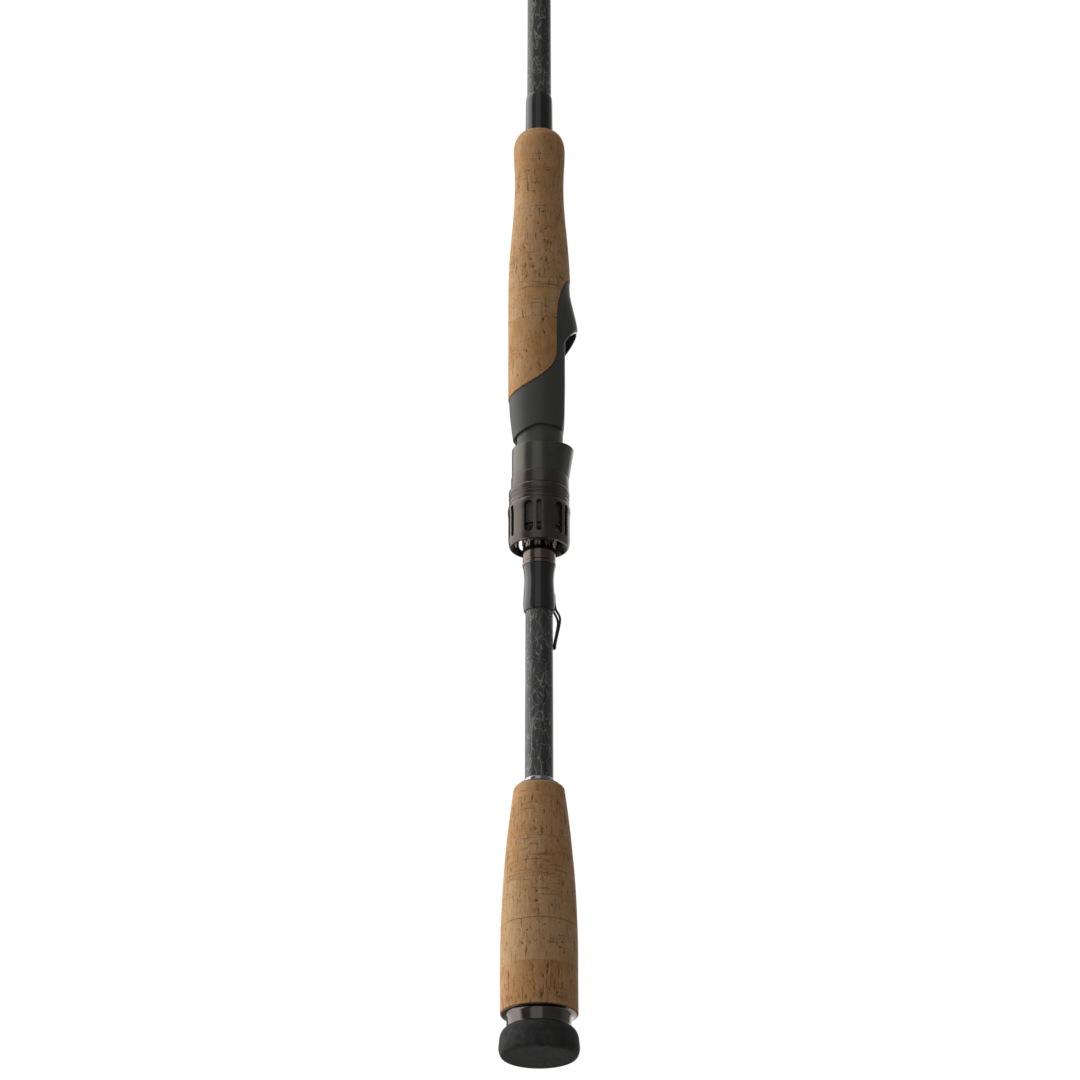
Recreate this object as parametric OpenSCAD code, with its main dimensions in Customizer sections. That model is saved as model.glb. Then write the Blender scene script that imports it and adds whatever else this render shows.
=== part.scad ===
// Spinning rod: a tapered hollow blank with a split cork handle, an up-locking
// reel seat and a train of line guides. The centre of the butt cap's end face is
// the origin, the tip points to +Z, and the reel and the guides are on the +X
// side. All sizes are millimetres.

/* [Blank] */
// Length of the blank, butt to tip
rod_len = 2130; // [2080:5:2180]
// Blank diameter at the butt end
blank_butt_d = 12.48; // [12.40:0.02:12.50]
// Blank diameter a quarter of the way up
blank_mid_d = 10.2; // [10.1:0.05:10.3]
// Blank diameter at the tip
blank_tip_d = 1.9; // [1.8:0.05:2.0]
// Wall of the blank at the butt
blank_wall = 1.3; // [1.1:0.05:1.4]

/* [Handle] */
// Height of the butt cap
cap_h = 12.3; // [11.5:0.1:12.6]
// Height of the flared ring above the butt cap
butt_ring_h = 6.2; // [5.8:0.1:6.4]
// Length of the butt grip
butt_grip_len = 99.4; // [98:0.1:101]
// Thickness of one cork ring
cork_ring_h = 18.4; // [18.2:0.1:18.6]
// Top of the fore grip above the butt
fore_grip_top = 422.8; // [422:0.1:424]

/* [Reel seat] */
// Radius of the threaded barrel over the thread
barrel_r = 10.15; // [10.12:0.01:10.18]
// Pitch of the thread
thread_pitch = 2; // [1.9:0.1:2.1]
// Distance from the axis to the flat that the reel foot lies on
saddle_x = 11.05; // [11.0:0.01:11.1]
// Radial running gap between the barrel and what slides or turns on it
run_gap = 0.06; // [0.05:0.01:0.08]
// Pairs of slots round the lock nut, a wide one and a narrow one in each
slot_pairs = 6; // [5:1:6]

/* [Guides] */
// Nominal ring diameters, from the reel to the tip
guide_sizes = [25, 16, 12, 10, 8, 7, 6];
// Nominal ring diameter of the tip guide
tip_size = 6; // [6:1:7]
// Distance from the tip guide to the last guide
guide_gap = 120; // [110:1:125]
// Growth of the gap from one guide to the next
guide_growth = 1.15; // [1.12:0.01:1.16]

/* [Hidden] */
$fn = 96;
eps = 0.01;

// Heights along the axis, from the butt up
ring_z = cap_h;
grip_z = ring_z + butt_ring_h;
check_z = grip_z + butt_grip_len;
wrap_z = 197;
trim_z = 217.6;
hub_z = 227.6;
nut_z = 226.1;
barrel_z = 232.6;
collar_z = 245.45;
base_z = 252.55;
hood_z = 258.35;
hood_top = 271.5;
shoulder_z = 280;
seat_top = 350;
first_seam_z = fore_grip_top - 6 * cork_ring_h - 1.6;
knee_z = 489;

// Radii of the seat parts
seat_bore_r = 6.6;
hub_r = 7.25;
spigot_r = 9.3;
nut_bore_r = 11.45;
tail_r = 10.95;
hood_r = 11.65;
base_r = 12.3;
base_shift = 0.35;
glue = 0.04;
joint_fillet = 0.015;

// Slope of the two foot pockets: run out per unit of height
fixed_slope = 0.222;
moving_slope = 0.153;
fixed_bump_r = 8.6;
fixed_bump_x = 7.77;
fixed_wall = 0.7;
foot_half = 6.6;
fixed_bump_reach = 16.6;
fixed_bump_z = 329.5;
moving_bump_r = 10.8;
moving_bump_x = 3.85;
moving_bump_z = 271;
pocket_floor = 262;
mouth_z = 319.6;
mouth_rise = 1.35;
key_turn = 196;
key_w = 1.8;
key_floor = 9.25;

// Butt grip: its straight radius, where the taper starts, the taper's arc and
// the radius of its upper edge
butt_grip_r = 16.1;
butt_bend_z = 40;
butt_arc_r = 540;
butt_edge = 1.3;

// Fore grip: radius and height of the straight, the neck and the lip, and the
// radius that its rounded end closes to
fore_grip_r = 13.3;
fore_shoulder_z = 348;
fore_neck_r = 10.55;
fore_neck_z = 398;
fore_lip_r = 11.1;
fore_lip_z = 414;
fore_end_r = 6;

// Seat: its lower end, how far up it swells, its radii, and its seam and rim
seat_low_z = 275;
seat_swell = 22;
seat_lip_r = 11;
seat_waist_r = 12.9;
seat_top_r = 13.15;
seam_x = 7.65;
seam_back_z = 294.6;
seam_top_z = 352.2;
rim_low = 275.4;
rim_high = 279.5;
rim_slope = 0.32;
rim_turn_x = -0.8;

// Lock nut: radius of its body and of its lower end, and how far up it rounds
nut_r = 13.1;
nut_foot_r = 11.9;
nut_round = 4;

guides = len(guide_sizes);
double_foot = 3;
guide_r_wire = 0.75;
foot_w = 3.2;
foot_t = 0.9;
foot_len = 11;

butt_corks = 6;
fore_corks = 7;

function numbered(name, n) = [for (i = [1:n]) str(name, "_", i)];

// ---------------------------------------------------------------- helpers

// Outer radius of the blank at height z
function blank_r(z) =
    z < knee_z
    ? (blank_butt_d + (blank_mid_d - blank_butt_d) * z / knee_z) / 2
    : (blank_mid_d + (blank_tip_d - blank_mid_d) * (z - knee_z) / (rod_len - knee_z)) / 2;

// One point of a smooth curve between b and c, with neighbours a and d
function blend4(a, b, c, d, t) =
    0.5 * (2 * b + (c - a) * t + (2 * a - 5 * b + 4 * c - d) * t * t
    + (3 * b - a - 3 * c + d) * t * t * t);

// A smooth curve through the points p, with n steps between each pair
function smooth(p, n = 4) =
    let (last = len(p) - 1)
    concat(
        [for (i = [0:last - 1], k = [0:n - 1])
            blend4(p[max(i - 1, 0)], p[i], p[i + 1], p[min(i + 2, last)], k / n)],
        [p[last]]);

// A curve from a to c whose ends point at b
function bend(a, b, c, n = 10) =
    [for (i = [0:n]) let (t = i / n) (1 - t) * (1 - t) * a + 2 * t * (1 - t) * b + t * t * c];

// A smooth step from 0 at height low to 1 at height high
function ease(z, low, high) =
    let (t = min(max((z - low) / (high - low), 0), 1)) (1 - cos(180 * t)) / 2;

// A solid of revolution between a bore that follows the blank and an outline
module on_blank(outline, gap = glue) {
    low = outline[0][1];
    high = outline[len(outline) - 1][1];
    rotate_extrude()
        polygon(concat(outline, [[blank_r(high) + gap, high], [blank_r(low) + gap, low]]));
}

// A tube from z0 to z1
module tube(r_in, r_out, z0, z1) {
    translate([0, 0, z0])
        difference() {
            cylinder(r = r_out, h = z1 - z0);
            translate([0, 0, -1]) cylinder(r = r_in, h = z1 - z0 + 2);
        }
}

// A prism along Y from an outline drawn in X and Z
module side_prism(outline, half = 25) {
    rotate([90, 0, 0])
        linear_extrude(height = 2 * half, center = true)
            polygon(outline);
}

// A round bar from p to q
module bar(p, q, r) {
    d = q - p;
    long = norm(d);
    translate(p)
        rotate([0, acos(d[2] / long), atan2(d[1], d[0])])
            cylinder(r = r, h = long, $fn = 24);
    translate(p) sphere(r = r + joint_fillet, $fn = 24);
    translate(q) sphere(r = r + joint_fillet, $fn = 24);
}

// A leaning round column with its axis at height z0 passing x0, running out
// by slope for each unit of height
module leaning_column(x0, z0, slope, r) {
    translate([x0, 0, z0])
        rotate([0, atan(slope), 0])
            cylinder(r = r, h = 80, center = true);
}

// ---------------------------------------------------------------- butt end

module butt_cap() {
    edge = smooth([[14.6, 0], [15.7, 0.5], [16.55, 2.2], [16.75, 4.3],
        [16.5, 7], [15.9, 9.7], [15.05, 11.2], [13.9, cap_h - 0.1]], 3);
    color("#26282a")
        rotate_extrude()
            polygon(concat([[0, 0]], edge,
                [[6.6, cap_h], [6.6, 9.1], [11.1, 9.1], [11.1, 5.9], [0, 5.9]]));
}

module cap_plug() {
    stem_r = blank_r(9) - blank_wall - glue;
    color("#3a3a3c")
        rotate_extrude()
            polygon([[0, 6], [11, 6], [11, 9], [stem_r, 9], [stem_r - 0.1, 30], [stem_r - 0.8, 31],
                [0, 31]]);
}

module butt_ring() {
    outer = smooth([[13.6, ring_z], [13.45, ring_z + 2.2], [13.6, ring_z + 4],
        [14.2, ring_z + 5.2], [15.35, ring_z + 5.9]], 4);
    color("#55504f")
        rotate_extrude()
            polygon(concat(outer, [[15.35, grip_z - eps], [12.5, grip_z - eps], [12.5, ring_z]]));
}

module ring_core() {
    color("#1e1e1e")
        on_blank([[12.45, ring_z], [12.45, grip_z - eps]]);
}

// Radius of the butt grip at height z: straight, then falling along a long arc
function butt_grip_at(z) = butt_grip_r - pow(max(z - butt_bend_z, 0), 2) / (2 * butt_arc_r);

module butt_grip() {
    edge_z = check_z - butt_edge;
    on_blank(concat(
        [[butt_grip_r, grip_z]],
        [for (z = [butt_bend_z:3.5:edge_z - 1]) [butt_grip_at(z), z]],
        [for (a = [0:15:90]) let (z = edge_z + butt_edge * sin(a))
            [butt_grip_at(z) - butt_edge * (1 - cos(a)), z]]));
}

module butt_cork(i) {
    color(i % 2 == 0 ? "#c79a68" : "#bf915e")
        intersection() {
            butt_grip();
            translate([0, 0, grip_z + (i - 1) * cork_ring_h])
                cylinder(r = 30, h = cork_ring_h);
        }
}

module check_disc() {
    color("#17181a")
        on_blank([[9.1, check_z], [9.0, check_z + 0.7], [6.5, check_z + 1.5]]);
}

module check_ring() {
    low = check_z + 1.5;
    color("#c9c9cc")
        on_blank([[6.3, low], [6.45, low + 0.4], [6.35, low + 1.6], [6.15, low + 1.8]]);
}

// ---------------------------------------------------------------- blank

module blank() {
    low = 9.15;
    wall_mid = 0.9;
    wall_tip = 0.5;
    color("#2e3134")
        rotate_extrude()
            polygon([
                [blank_r(low) - blank_wall, low], [blank_r(low), low],
                [blank_r(knee_z), knee_z], [blank_r(rod_len), rod_len],
                [blank_r(rod_len) - wall_tip, rod_len],
                [blank_r(knee_z) - wall_mid, knee_z]]);
}

module rear_winding() {
    color("#121416")
        on_blank(smooth([[6.1, wrap_z], [6.5, wrap_z + 0.8], [6.76, wrap_z + 3.5], [6.52, wrap_z + 9],
            [6.3, wrap_z + 14.5], [6.55, wrap_z + 18], [6.88, trim_z - 0.2]], 4));
}

module front_winding() {
    color("#121416")
        on_blank(smooth([[6.0, fore_grip_top + 0.05], [5.9, 430], [5.82, 436], [5.72, 439],
            [5.5, 440.7], [5.25, 441.4]], 4));
}

// Two wire legs leave the winding, bow away from the blank and meet in a
// bend that touches it
module hook_keeper() {
    wire_r = 0.5;
    lean = 13;
    half_angle = 13;
    side = [[6.5, 204, 1], [6.65, 199.6, 1], [7.6, 197.2, 1], [8.7, 194.8, 1], [8.7, 192.6, 1],
        [8.1, 189.6, 1], [7.0, 184.2, 1], [6.55, 181.6, 0.62]];
    pts = [for (s = [-1, 1]) [for (p = side)
        [p[0] * cos(half_angle * p[2] * s), p[0] * sin(half_angle * p[2] * s), p[1]]]];
    bend = [6.45, 0, 180.7];
    color("#101010")
        rotate([0, 0, lean])
            union() {
                for (leg = pts) {
                    for (i = [0:len(leg) - 2])
                        bar(leg[i], leg[i + 1], wire_r);
                    bar(leg[len(leg) - 1], bend, wire_r);
                }
            }
}

// ---------------------------------------------------------------- reel seat

module seat_trim_ring() {
    color("#6b5d57")
        on_blank([[6.85, trim_z], [7.1, trim_z + 0.3], [7.1, trim_z + 1.5], [6.7, trim_z + 1.8],
            [6.7, trim_z + 2.2], [6.96, trim_z + 2.5], [6.96, hub_z]]);
}

// Where the cork ends and the seat begins, seen from the side: it sweeps up from
// the back, runs straight beside the saddle, and turns out over the fixed hood
function seat_edge() = concat(
    bend([-14, seam_back_z], [seam_x, seam_back_z + 6.4], [seam_x, seam_back_z + 19.4]),
    bend([seam_x, seam_top_z - 26], [seam_x, seam_top_z - 9], [14, seam_top_z]));

module seat_side() {
    side_prism(concat(seat_edge(), [[25, seam_top_z], [25, 250], [-25, 250], [-25, seam_back_z]]));
}

// Radius of the seat at height z: it swells from the lower rim, then is nearly straight
function seat_r_at(z) = seat_lip_r
    + (seat_waist_r - seat_lip_r) * sin(90 * min((z - seat_low_z) / seat_swell, 1))
    + (seat_top_r - seat_waist_r) * max(z - seat_low_z - seat_swell, 0) / 56;

// Lower rim of the seat, seen from the side: low at the back, a slope, then level
function rim_edge() = concat(
    [[-25, rim_low], [rim_turn_x - (rim_high - rim_low) / rim_slope, rim_low]],
    bend([rim_turn_x - 2, rim_high - 2 * rim_slope], [rim_turn_x, rim_high],
        [rim_turn_x + 2, rim_high], 4),
    [[25, rim_high]]);

// Height of the slanted mouth of the fixed hood at x
function mouth_at(x) = mouth_z + (x - saddle_x) * mouth_rise;

// The room for the foot: over the saddle, and below the slanted mouth
module below_mouth(lower = 0) {
    side_prism([[saddle_x, 240], [40, 240], [40, mouth_at(40) - lower], [saddle_x, mouth_z - lower]]);
}

module fixed_column(r) {
    leaning_column(fixed_bump_x, fixed_bump_z, -fixed_slope, r);
}

module fixed_bump() {
    intersection() {
        fixed_column(fixed_bump_r);
        translate([0, 0, 300]) cylinder(r = fixed_bump_reach, h = 46.5);
        side_prism([[0, mouth_at(0)], [40, mouth_at(40)], [40, 400], [0, 400]]);
    }
}

module fixed_pocket(r) {
    intersection() {
        fixed_column(r);
        translate([saddle_x, -foot_half, 300]) cube([20, 2 * foot_half, 37.5]);
    }
}

module seat_body() {
    color("#2a2c2d")
        difference() {
            intersection() {
                union() {
                    rotate_extrude()
                        polygon(concat(
                            [for (i = [0:8]) let (z = seat_low_z + seat_swell * i / 8) [seat_r_at(z), z]],
                            [[seat_top_r, 353], [0, 353], [0, seat_low_z]]));
                    fixed_bump();
                }
                seat_side();
                side_prism(concat(rim_edge(), [[25, 360], [-25, 360]]));
            }
            translate([0, 0, 270]) cylinder(r = spigot_r + glue, h = 90);
            translate([0, 0, 270]) cylinder(r = barrel_r + glue, h = shoulder_z - 270 + 0.05);
            below_mouth();
            fixed_pocket(fixed_bump_r - fixed_wall);
        }
}

module fixed_hood_liner() {
    color("#8d8f92")
        difference() {
            fixed_pocket(fixed_bump_r - fixed_wall - 0.02);
            fixed_column(fixed_bump_r - fixed_wall - 0.5);
            below_mouth(0.3);
        }
}

module seat_barrel() {
    grooves = 12;
    crest = 0.7;
    depth = 0.6;
    thread = [for (i = [0:grooves - 1]) let (z = barrel_z + 1.2 + i * thread_pitch)
        each [[barrel_r, z], [barrel_r - depth, z + 0.45], [barrel_r - depth, z + 0.85],
        [barrel_r, z + thread_pitch - crest]]];
    color("#1d1e20")
        difference() {
            rotate_extrude()
                polygon(concat([[seat_bore_r, hub_z], [hub_r, hub_z], [hub_r, barrel_z],
                    [barrel_r - 0.5, barrel_z], [barrel_r, barrel_z + 0.5]], thread,
                    [[barrel_r, shoulder_z], [spigot_r, shoulder_z], [spigot_r, seat_top],
                    [seat_bore_r, seat_top]]));
            rotate([0, 0, key_turn])
                translate([key_floor, -key_w / 2, barrel_z - 1])
                    cube([2, key_w, shoulder_z - barrel_z + 2]);
            for (i = [0:11])
                rotate([0, 0, 30 * i + 15])
                    translate([hub_r + 0.15, 0, hub_z - 1])
                        cylinder(r = 0.6, h = barrel_z - hub_z + 0.8);
        }
}

module seat_arbors() {
    color("#8a8f8a")
        for (z = [238, 277, 322])
            rotate_extrude()
                polygon([[blank_r(z) + glue, z], [seat_bore_r - 0.02, z],
                    [seat_bore_r - 0.02, z + 14], [blank_r(z + 14) + glue, z + 14]]);
}

module moving_column(r) {
    leaning_column(moving_bump_x, moving_bump_z, moving_slope, r);
}

module moving_hood() {
    color("#45464a")
        difference() {
            intersection() {
                union() {
                    translate([0, 0, hood_z]) cylinder(r = hood_r, h = hood_top - hood_z);
                    moving_column(moving_bump_r);
                }
                translate([0, 0, hood_z])
                    rotate_extrude()
                        polygon([[0, 0], [12.6, 0], [13.1, 0.7], [16, 2], [16, hood_top - hood_z],
                            [0, hood_top - hood_z]]);
            }
            translate([0, 0, hood_z - 1]) cylinder(r = 10.9, h = 20);
            intersection() {
                moving_column(moving_bump_r - 0.9);
                translate([-2, -20, pocket_floor]) cube([30, 40, 20]);
            }
        }
}

module hood_liner() {
    color("#202123")
        difference() {
            union() {
                tube(barrel_r + run_gap, 10.86, hood_z, hood_top - 0.5);
                rotate([0, 0, key_turn])
                    translate([key_floor + 0.1, 0.15 - key_w / 2, hood_z])
                        cube([1.3, key_w - 0.3, hood_top - 0.5 - hood_z]);
            }
            translate([0, -20, pocket_floor - 0.3]) cube([20, 40, 20]);
        }
}

module hood_base() {
    color("#4f4845")
        difference() {
            union() {
                translate([base_shift, 0, base_z])
                    rotate_extrude()
                        polygon([[0, 0], [base_r - 0.3, 0], [base_r, 0.3], [base_r, 5.2],
                            [base_r - 0.25, hood_z - base_z - eps], [0, hood_z - base_z - eps]]);
                translate([0, 0, 247.7]) cylinder(r = tail_r, h = 5);
            }
            translate([0, 0, 240]) cylinder(r = barrel_r + run_gap, h = 30);
            tube(10.7, 12, 248.95, 249.85);
        }
}

module nut_retainer() {
    color("#b9b9bc")
        difference() {
            tube(10.72, 11.7, 249, 249.8);
            rotate([0, 0, 75]) translate([9, -0.8, 248]) cube([5, 1.6, 3]);
        }
}

module nut_collar() {
    outer = [[12.5, collar_z], [12.75, collar_z + 0.25], [12.75, 247.1], [12.45, 247.35], [12.45, 247.75],
        [12.85, 248], [12.85, 248.8], [12.5, 249.05], [12.5, 249.4], [12.9, 249.7],
        [12.9, 251.9], [12.6, base_z - 0.15]];
    color("#4c4644")
        rotate_extrude()
            polygon(concat(outer, [[11.25, base_z - 0.15], [11.25, 250.25], [12, 250.25], [12, 248.55],
                [11.25, 248.55], [11.25, 247.3], [11.42, 247.3], [11.42, collar_z]]));
}

// A slot with round ends and of width w, through the nut's wall at +X
module nut_slot(w) {
    slot_low = 229.2;
    slot_high = 243.4;
    translate([10, -w / 2, slot_low + w / 2])
        cube([5, w, slot_high - slot_low - w]);
    for (z = [slot_low + w / 2, slot_high - w / 2])
        translate([10, 0, z])
            rotate([0, 90, 0])
                cylinder(r = w / 2, h = 5, $fn = 48);
}

module lock_nut() {
    outer = concat(
        [for (a = [0:15:90])
            [nut_foot_r + (nut_r - nut_foot_r) * sin(a), nut_z + nut_round * (1 - cos(a))]],
        bend([nut_r, collar_z - 5.5], [nut_r + 0.6, collar_z - 2], [12.8, collar_z - eps], 8));
    color("#5a5350")
        difference() {
            rotate_extrude()
                polygon(concat(outer, [[nut_bore_r, collar_z - eps], [nut_bore_r, nut_z]]));
            for (i = [0:slot_pairs - 1])
                rotate([0, 0, i * 360 / slot_pairs]) {
                    rotate([0, 0, -110]) nut_slot(3.9);
                    rotate([0, 0, -90]) nut_slot(2);
                }
        }
}

module nut_insert() {
    color("#2b2a2a")
        rotate_extrude()
            polygon([[10.6, 234], [11.4, 234], [11.4, 247.2], [barrel_r + run_gap, 247.2],
                [barrel_r + run_gap, 241], [10.6, 240.6]]);
}

// ---------------------------------------------------------------- fore grip

// Radius of the fore grip at height z: straight, down to the neck, then out to the lip
function fore_grip_at(z) = fore_grip_r
    + (fore_neck_r - fore_grip_r) * ease(z, fore_shoulder_z, fore_neck_z)
    + (fore_lip_r - fore_neck_r) * ease(z, fore_neck_z, fore_lip_z);

module fore_grip() {
    outline = concat(
        [[fore_grip_r, 294]],
        [for (z = [fore_shoulder_z:2.5:fore_lip_z - 1]) [fore_grip_at(z), z]],
        [for (a = [0:7.5:90]) [fore_end_r + (fore_lip_r - fore_end_r) * cos(a),
            fore_lip_z + (fore_grip_top - fore_lip_z) * sin(a)]]);
    difference() {
        on_blank(outline);
        tube(0, spigot_r + glue, 290, seat_top + 0.2);
        translate([-0.12, 0, 0.12]) seat_side();
    }
}

module fore_cork(i) {
    start = i == 1 ? 290 : first_seam_z + (i - 2) * cork_ring_h;
    stop = i == fore_corks ? fore_grip_top + 1 : first_seam_z + (i - 1) * cork_ring_h;
    color(i % 2 == 0 ? "#c79a68" : "#bf915e")
        intersection() {
            fore_grip();
            translate([0, 0, start]) cylinder(r = 30, h = stop - start);
        }
}

// ---------------------------------------------------------------- guides

// Distance of guide i from the tip, counted from the reel
function guide_from_tip(i) =
    let (n = guides - i)
    guide_gap * (pow(guide_growth, n + 1) - 1) / (guide_growth - 1);

function guide_z(i) = rod_len - guide_from_tip(i);
function guide_height(size) = 0.92 * size + 1.8;
function ring_in(size) = 0.4 * size - (size < 9 ? 0.15 : 0);
function ring_out(size) = size / 2;
function guide_x(i) = blank_r(guide_z(i)) + guide_height(guide_sizes[i - 1]);
function is_double(i) = i <= double_foot;
function rear_reach(i) = 5 + 0.62 * guide_sizes[i - 1];
function front_reach(i) = 3 + 0.3 * guide_sizes[i - 1];

// A ring of hard ceramic with a straight bore and rounded mouths
module ring_insert(size) {
    r = ring_in(size);
    out = ring_out(size);
    land = 0.55;
    round = min(0.35, (out - r) * 0.4);
    slant = (out - r) / 3;
    rotate_extrude()
        polygon(concat(
            [for (a = [-90:30:0]) [r + round - round * cos(a), -land + round * sin(a)]],
            [for (a = [0:30:90]) [r + round - round * cos(a), land + round * sin(a)]],
            [[out - slant, land + round], [out - 0.05, land], [out - 0.05, -land],
            [out - slant, -land - round]]));
}

module hoop(size) {
    out = ring_out(size);
    rotate_extrude()
        polygon([[out, -0.6], [out + 0.6, -0.6], [out + 0.85, -0.25], [out + 0.85, 0.25],
            [out + 0.6, 0.6], [out, 0.6]]);
}

// A foot that lies along the blank from z0 to z1 on its reel side
module foot(z0, z1) {
    r = blank_r((z0 + z1) / 2);
    gap = abs(blank_r(z0) - blank_r(z1)) / 2 + 0.02;
    intersection() {
        tube(r + gap, r + gap + foot_t, z0, z1);
        side_prism([[0, z0], [r + 0.25, z0], [r + 3, z0 + 2.5], [r + 3, z1 - 2.5], [r + 0.25, z1], [0, z1]]);
        translate([0, -min(foot_w, r * 1.5) / 2, z0])
            cube([30, min(foot_w, r * 1.5), z1 - z0]);
    }
}

module guide_feet(i) {
    z = guide_z(i);
    foot(z - rear_reach(i) - foot_len, z - rear_reach(i) + 2);
    if (is_double(i))
        foot(z + front_reach(i) - 2, z + front_reach(i) + foot_len);
}

module guide_frame(i) {
    size = guide_sizes[i - 1];
    z = guide_z(i);
    x = guide_x(i);
    spread = 52;
    wire = size > 9 ? guide_r_wire : 0.55;
    mid = ring_out(size) + wire + 0.2;
    rear = z - rear_reach(i) + 1;
    root_x = blank_r(rear) + wire;
    root_y = min(1.1, blank_r(z) * 0.5);
    color("#3b3d40")
        union() {
            translate([x, 0, z]) hoop(size);
            for (s = [-1, 1])
                bar([x - mid * cos(spread), s * mid * sin(spread), z],
                    [root_x, s * root_y, rear], wire);
            if (is_double(i))
                for (s = [-1, 1])
                    bar([x - mid * cos(25), s * mid * sin(25), z],
                        [root_x, s * root_y, z + front_reach(i) - 1], wire);
            guide_feet(i);
        }
}

module guide_ring(i) {
    color("#8f959b")
        translate([guide_x(i), 0, guide_z(i)])
            ring_insert(guide_sizes[i - 1]);
}

// Thread and varnish over one foot, from z0 to z1
module winding(z0, z1) {
    rise = foot_t + 0.25;
    for (part = [0, 1])
        translate([part == 1 ? rise / 2 : 0, 0, 0])
            rotate_extrude()
                polygon([[0, z0 + part], [blank_r(z0) + 0.12 + part * 0.4, z0 + part],
                    [blank_r(z0) + 0.45 + part * 0.2, z0 + 1.2 + part],
                    [blank_r(z1) + 0.45 + part * 0.2, z1 - 1.2 - part],
                    [blank_r(z1) + 0.12 + part * 0.4, z1 - part], [0, z1 - part]]);
}

module guide_wrap(i) {
    z = guide_z(i);
    rear = z - rear_reach(i);
    front = z + front_reach(i);
    color("#141517")
        difference() {
            union() {
                winding(rear - foot_len - 4, rear - 0.5);
                if (is_double(i))
                    winding(front + 0.5, front + foot_len + 4);
            }
            blank_envelope(rear - foot_len - 5, front + foot_len + 5);
            guide_feet(i);
        }
}

// The blank's outside, a glue film larger, from z0 to z1
module blank_envelope(z0, z1) {
    translate([0, 0, z0])
        cylinder(r1 = blank_r(z0) + glue / 2, r2 = blank_r(z1) + glue / 2, h = z1 - z0);
}

// ---------------------------------------------------------------- tip guide

tip_tube_r = 1.7;
tip_x = tip_tube_r + ring_out(tip_size) + 0.5;
tip_z = rod_len + 1.2;

module tip_frame() {
    low = rod_len - 11;
    mid = ring_out(tip_size) + 0.7;
    color("#3b3d40")
        difference() {
            union() {
                translate([0, 0, low]) cylinder(r = tip_tube_r, h = 13);
                translate([tip_x, 0, tip_z]) hoop(tip_size);
                for (s = [-1, 1])
                    bar([tip_x - mid * cos(60), s * mid * sin(60), tip_z],
                        [tip_tube_r - 0.2, s * 0.6, low + 2.5], 0.5);
            }
            blank_envelope(low - 1, rod_len + 0.01);
        }
}

module tip_ring() {
    color("#8f959b")
        translate([tip_x, 0, tip_z])
            ring_insert(tip_size);
}

module tip_winding() {
    low = rod_len - 17;
    color("#141517")
        on_blank([[blank_r(low) + 0.15, low], [blank_r(low) + 0.5, low + 1], [1.75, low + 5.2],
            [1.6, rod_len - 11.05]], 0.02);
}

// ---------------------------------------------------------------- parts

butt_cap();
cap_plug();
butt_ring();
ring_core();
for (i = [1:butt_corks])
    butt_cork(i);
check_disc();
check_ring();
blank();
rear_winding();
hook_keeper();
seat_trim_ring();
seat_barrel();
seat_arbors();
seat_body();
fixed_hood_liner();
moving_hood();
hood_liner();
hood_base();
nut_retainer();
nut_collar();
lock_nut();
nut_insert();
for (i = [1:fore_corks])
    fore_cork(i);
front_winding();
for (i = [1:guides]) {
    guide_frame(i);
    guide_ring(i);
    guide_wrap(i);
}
tip_frame();
tip_ring();
tip_winding();
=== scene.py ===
"""A spinning rod: its visual model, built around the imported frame.

Lengths are millimetres unless a name says otherwise; MM turns them into metres.
The rod stands along Z with its butt at the origin, and the reel side is +X.
"""

import math
import random

import bmesh
import bpy
import numpy as np
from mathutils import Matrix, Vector
from mathutils.geometry import delaunay_2d_cdt


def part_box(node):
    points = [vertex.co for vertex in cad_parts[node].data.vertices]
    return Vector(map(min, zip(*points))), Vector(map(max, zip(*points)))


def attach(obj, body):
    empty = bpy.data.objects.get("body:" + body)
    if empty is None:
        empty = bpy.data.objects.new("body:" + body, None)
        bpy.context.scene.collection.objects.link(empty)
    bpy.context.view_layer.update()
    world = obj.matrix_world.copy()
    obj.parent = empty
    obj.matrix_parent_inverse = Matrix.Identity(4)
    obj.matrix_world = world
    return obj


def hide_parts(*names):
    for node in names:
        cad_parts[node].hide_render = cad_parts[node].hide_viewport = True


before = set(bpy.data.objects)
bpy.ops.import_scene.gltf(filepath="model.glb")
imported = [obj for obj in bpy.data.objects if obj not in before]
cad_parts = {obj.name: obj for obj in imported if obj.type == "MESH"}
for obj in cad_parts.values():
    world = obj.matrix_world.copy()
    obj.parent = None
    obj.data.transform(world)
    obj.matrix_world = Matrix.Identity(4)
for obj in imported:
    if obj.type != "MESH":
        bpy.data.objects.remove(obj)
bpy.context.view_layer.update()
MM = 0.001


# ---------------------------------------------------------------- the frame's own sizes


def low(node):
    """Height of a node's lower end."""
    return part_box(node)[0].z / MM


def high(node):
    """Height of a node's upper end."""
    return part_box(node)[1].z / MM


ROD_TOP = high("blank")
BLANK_BUTT_R = 6.24
BLANK_KNEE_R = 5.1
BLANK_TIP_R = 0.95
KNEE_Z = 489.0
GLUE = 0.04
SPIGOT_TOP = high("seat_barrel")


def blank_r(z):
    """Outer radius of the blank at height z."""
    return np.interp(z, [0, KNEE_Z, ROD_TOP], [BLANK_BUTT_R, BLANK_KNEE_R, BLANK_TIP_R])


# ---------------------------------------------------------------- outlines


def smooth(points, steps=4):
    """A Catmull-Rom curve through points."""
    p = [Vector(q) for q in points]
    out = []
    for i in range(len(p) - 1):
        a, b, c, d = p[max(i - 1, 0)], p[i], p[i + 1], p[min(i + 2, len(p) - 1)]
        for k in range(steps):
            t = k / steps
            out.append(
                0.5 * (2 * b + (c - a) * t + (2 * a - 5 * b + 4 * c - d) * t**2
                       + (3 * b - a - 3 * c + d) * t**3)
            )
    out.append(p[-1])
    return [tuple(q) for q in out]


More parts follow.
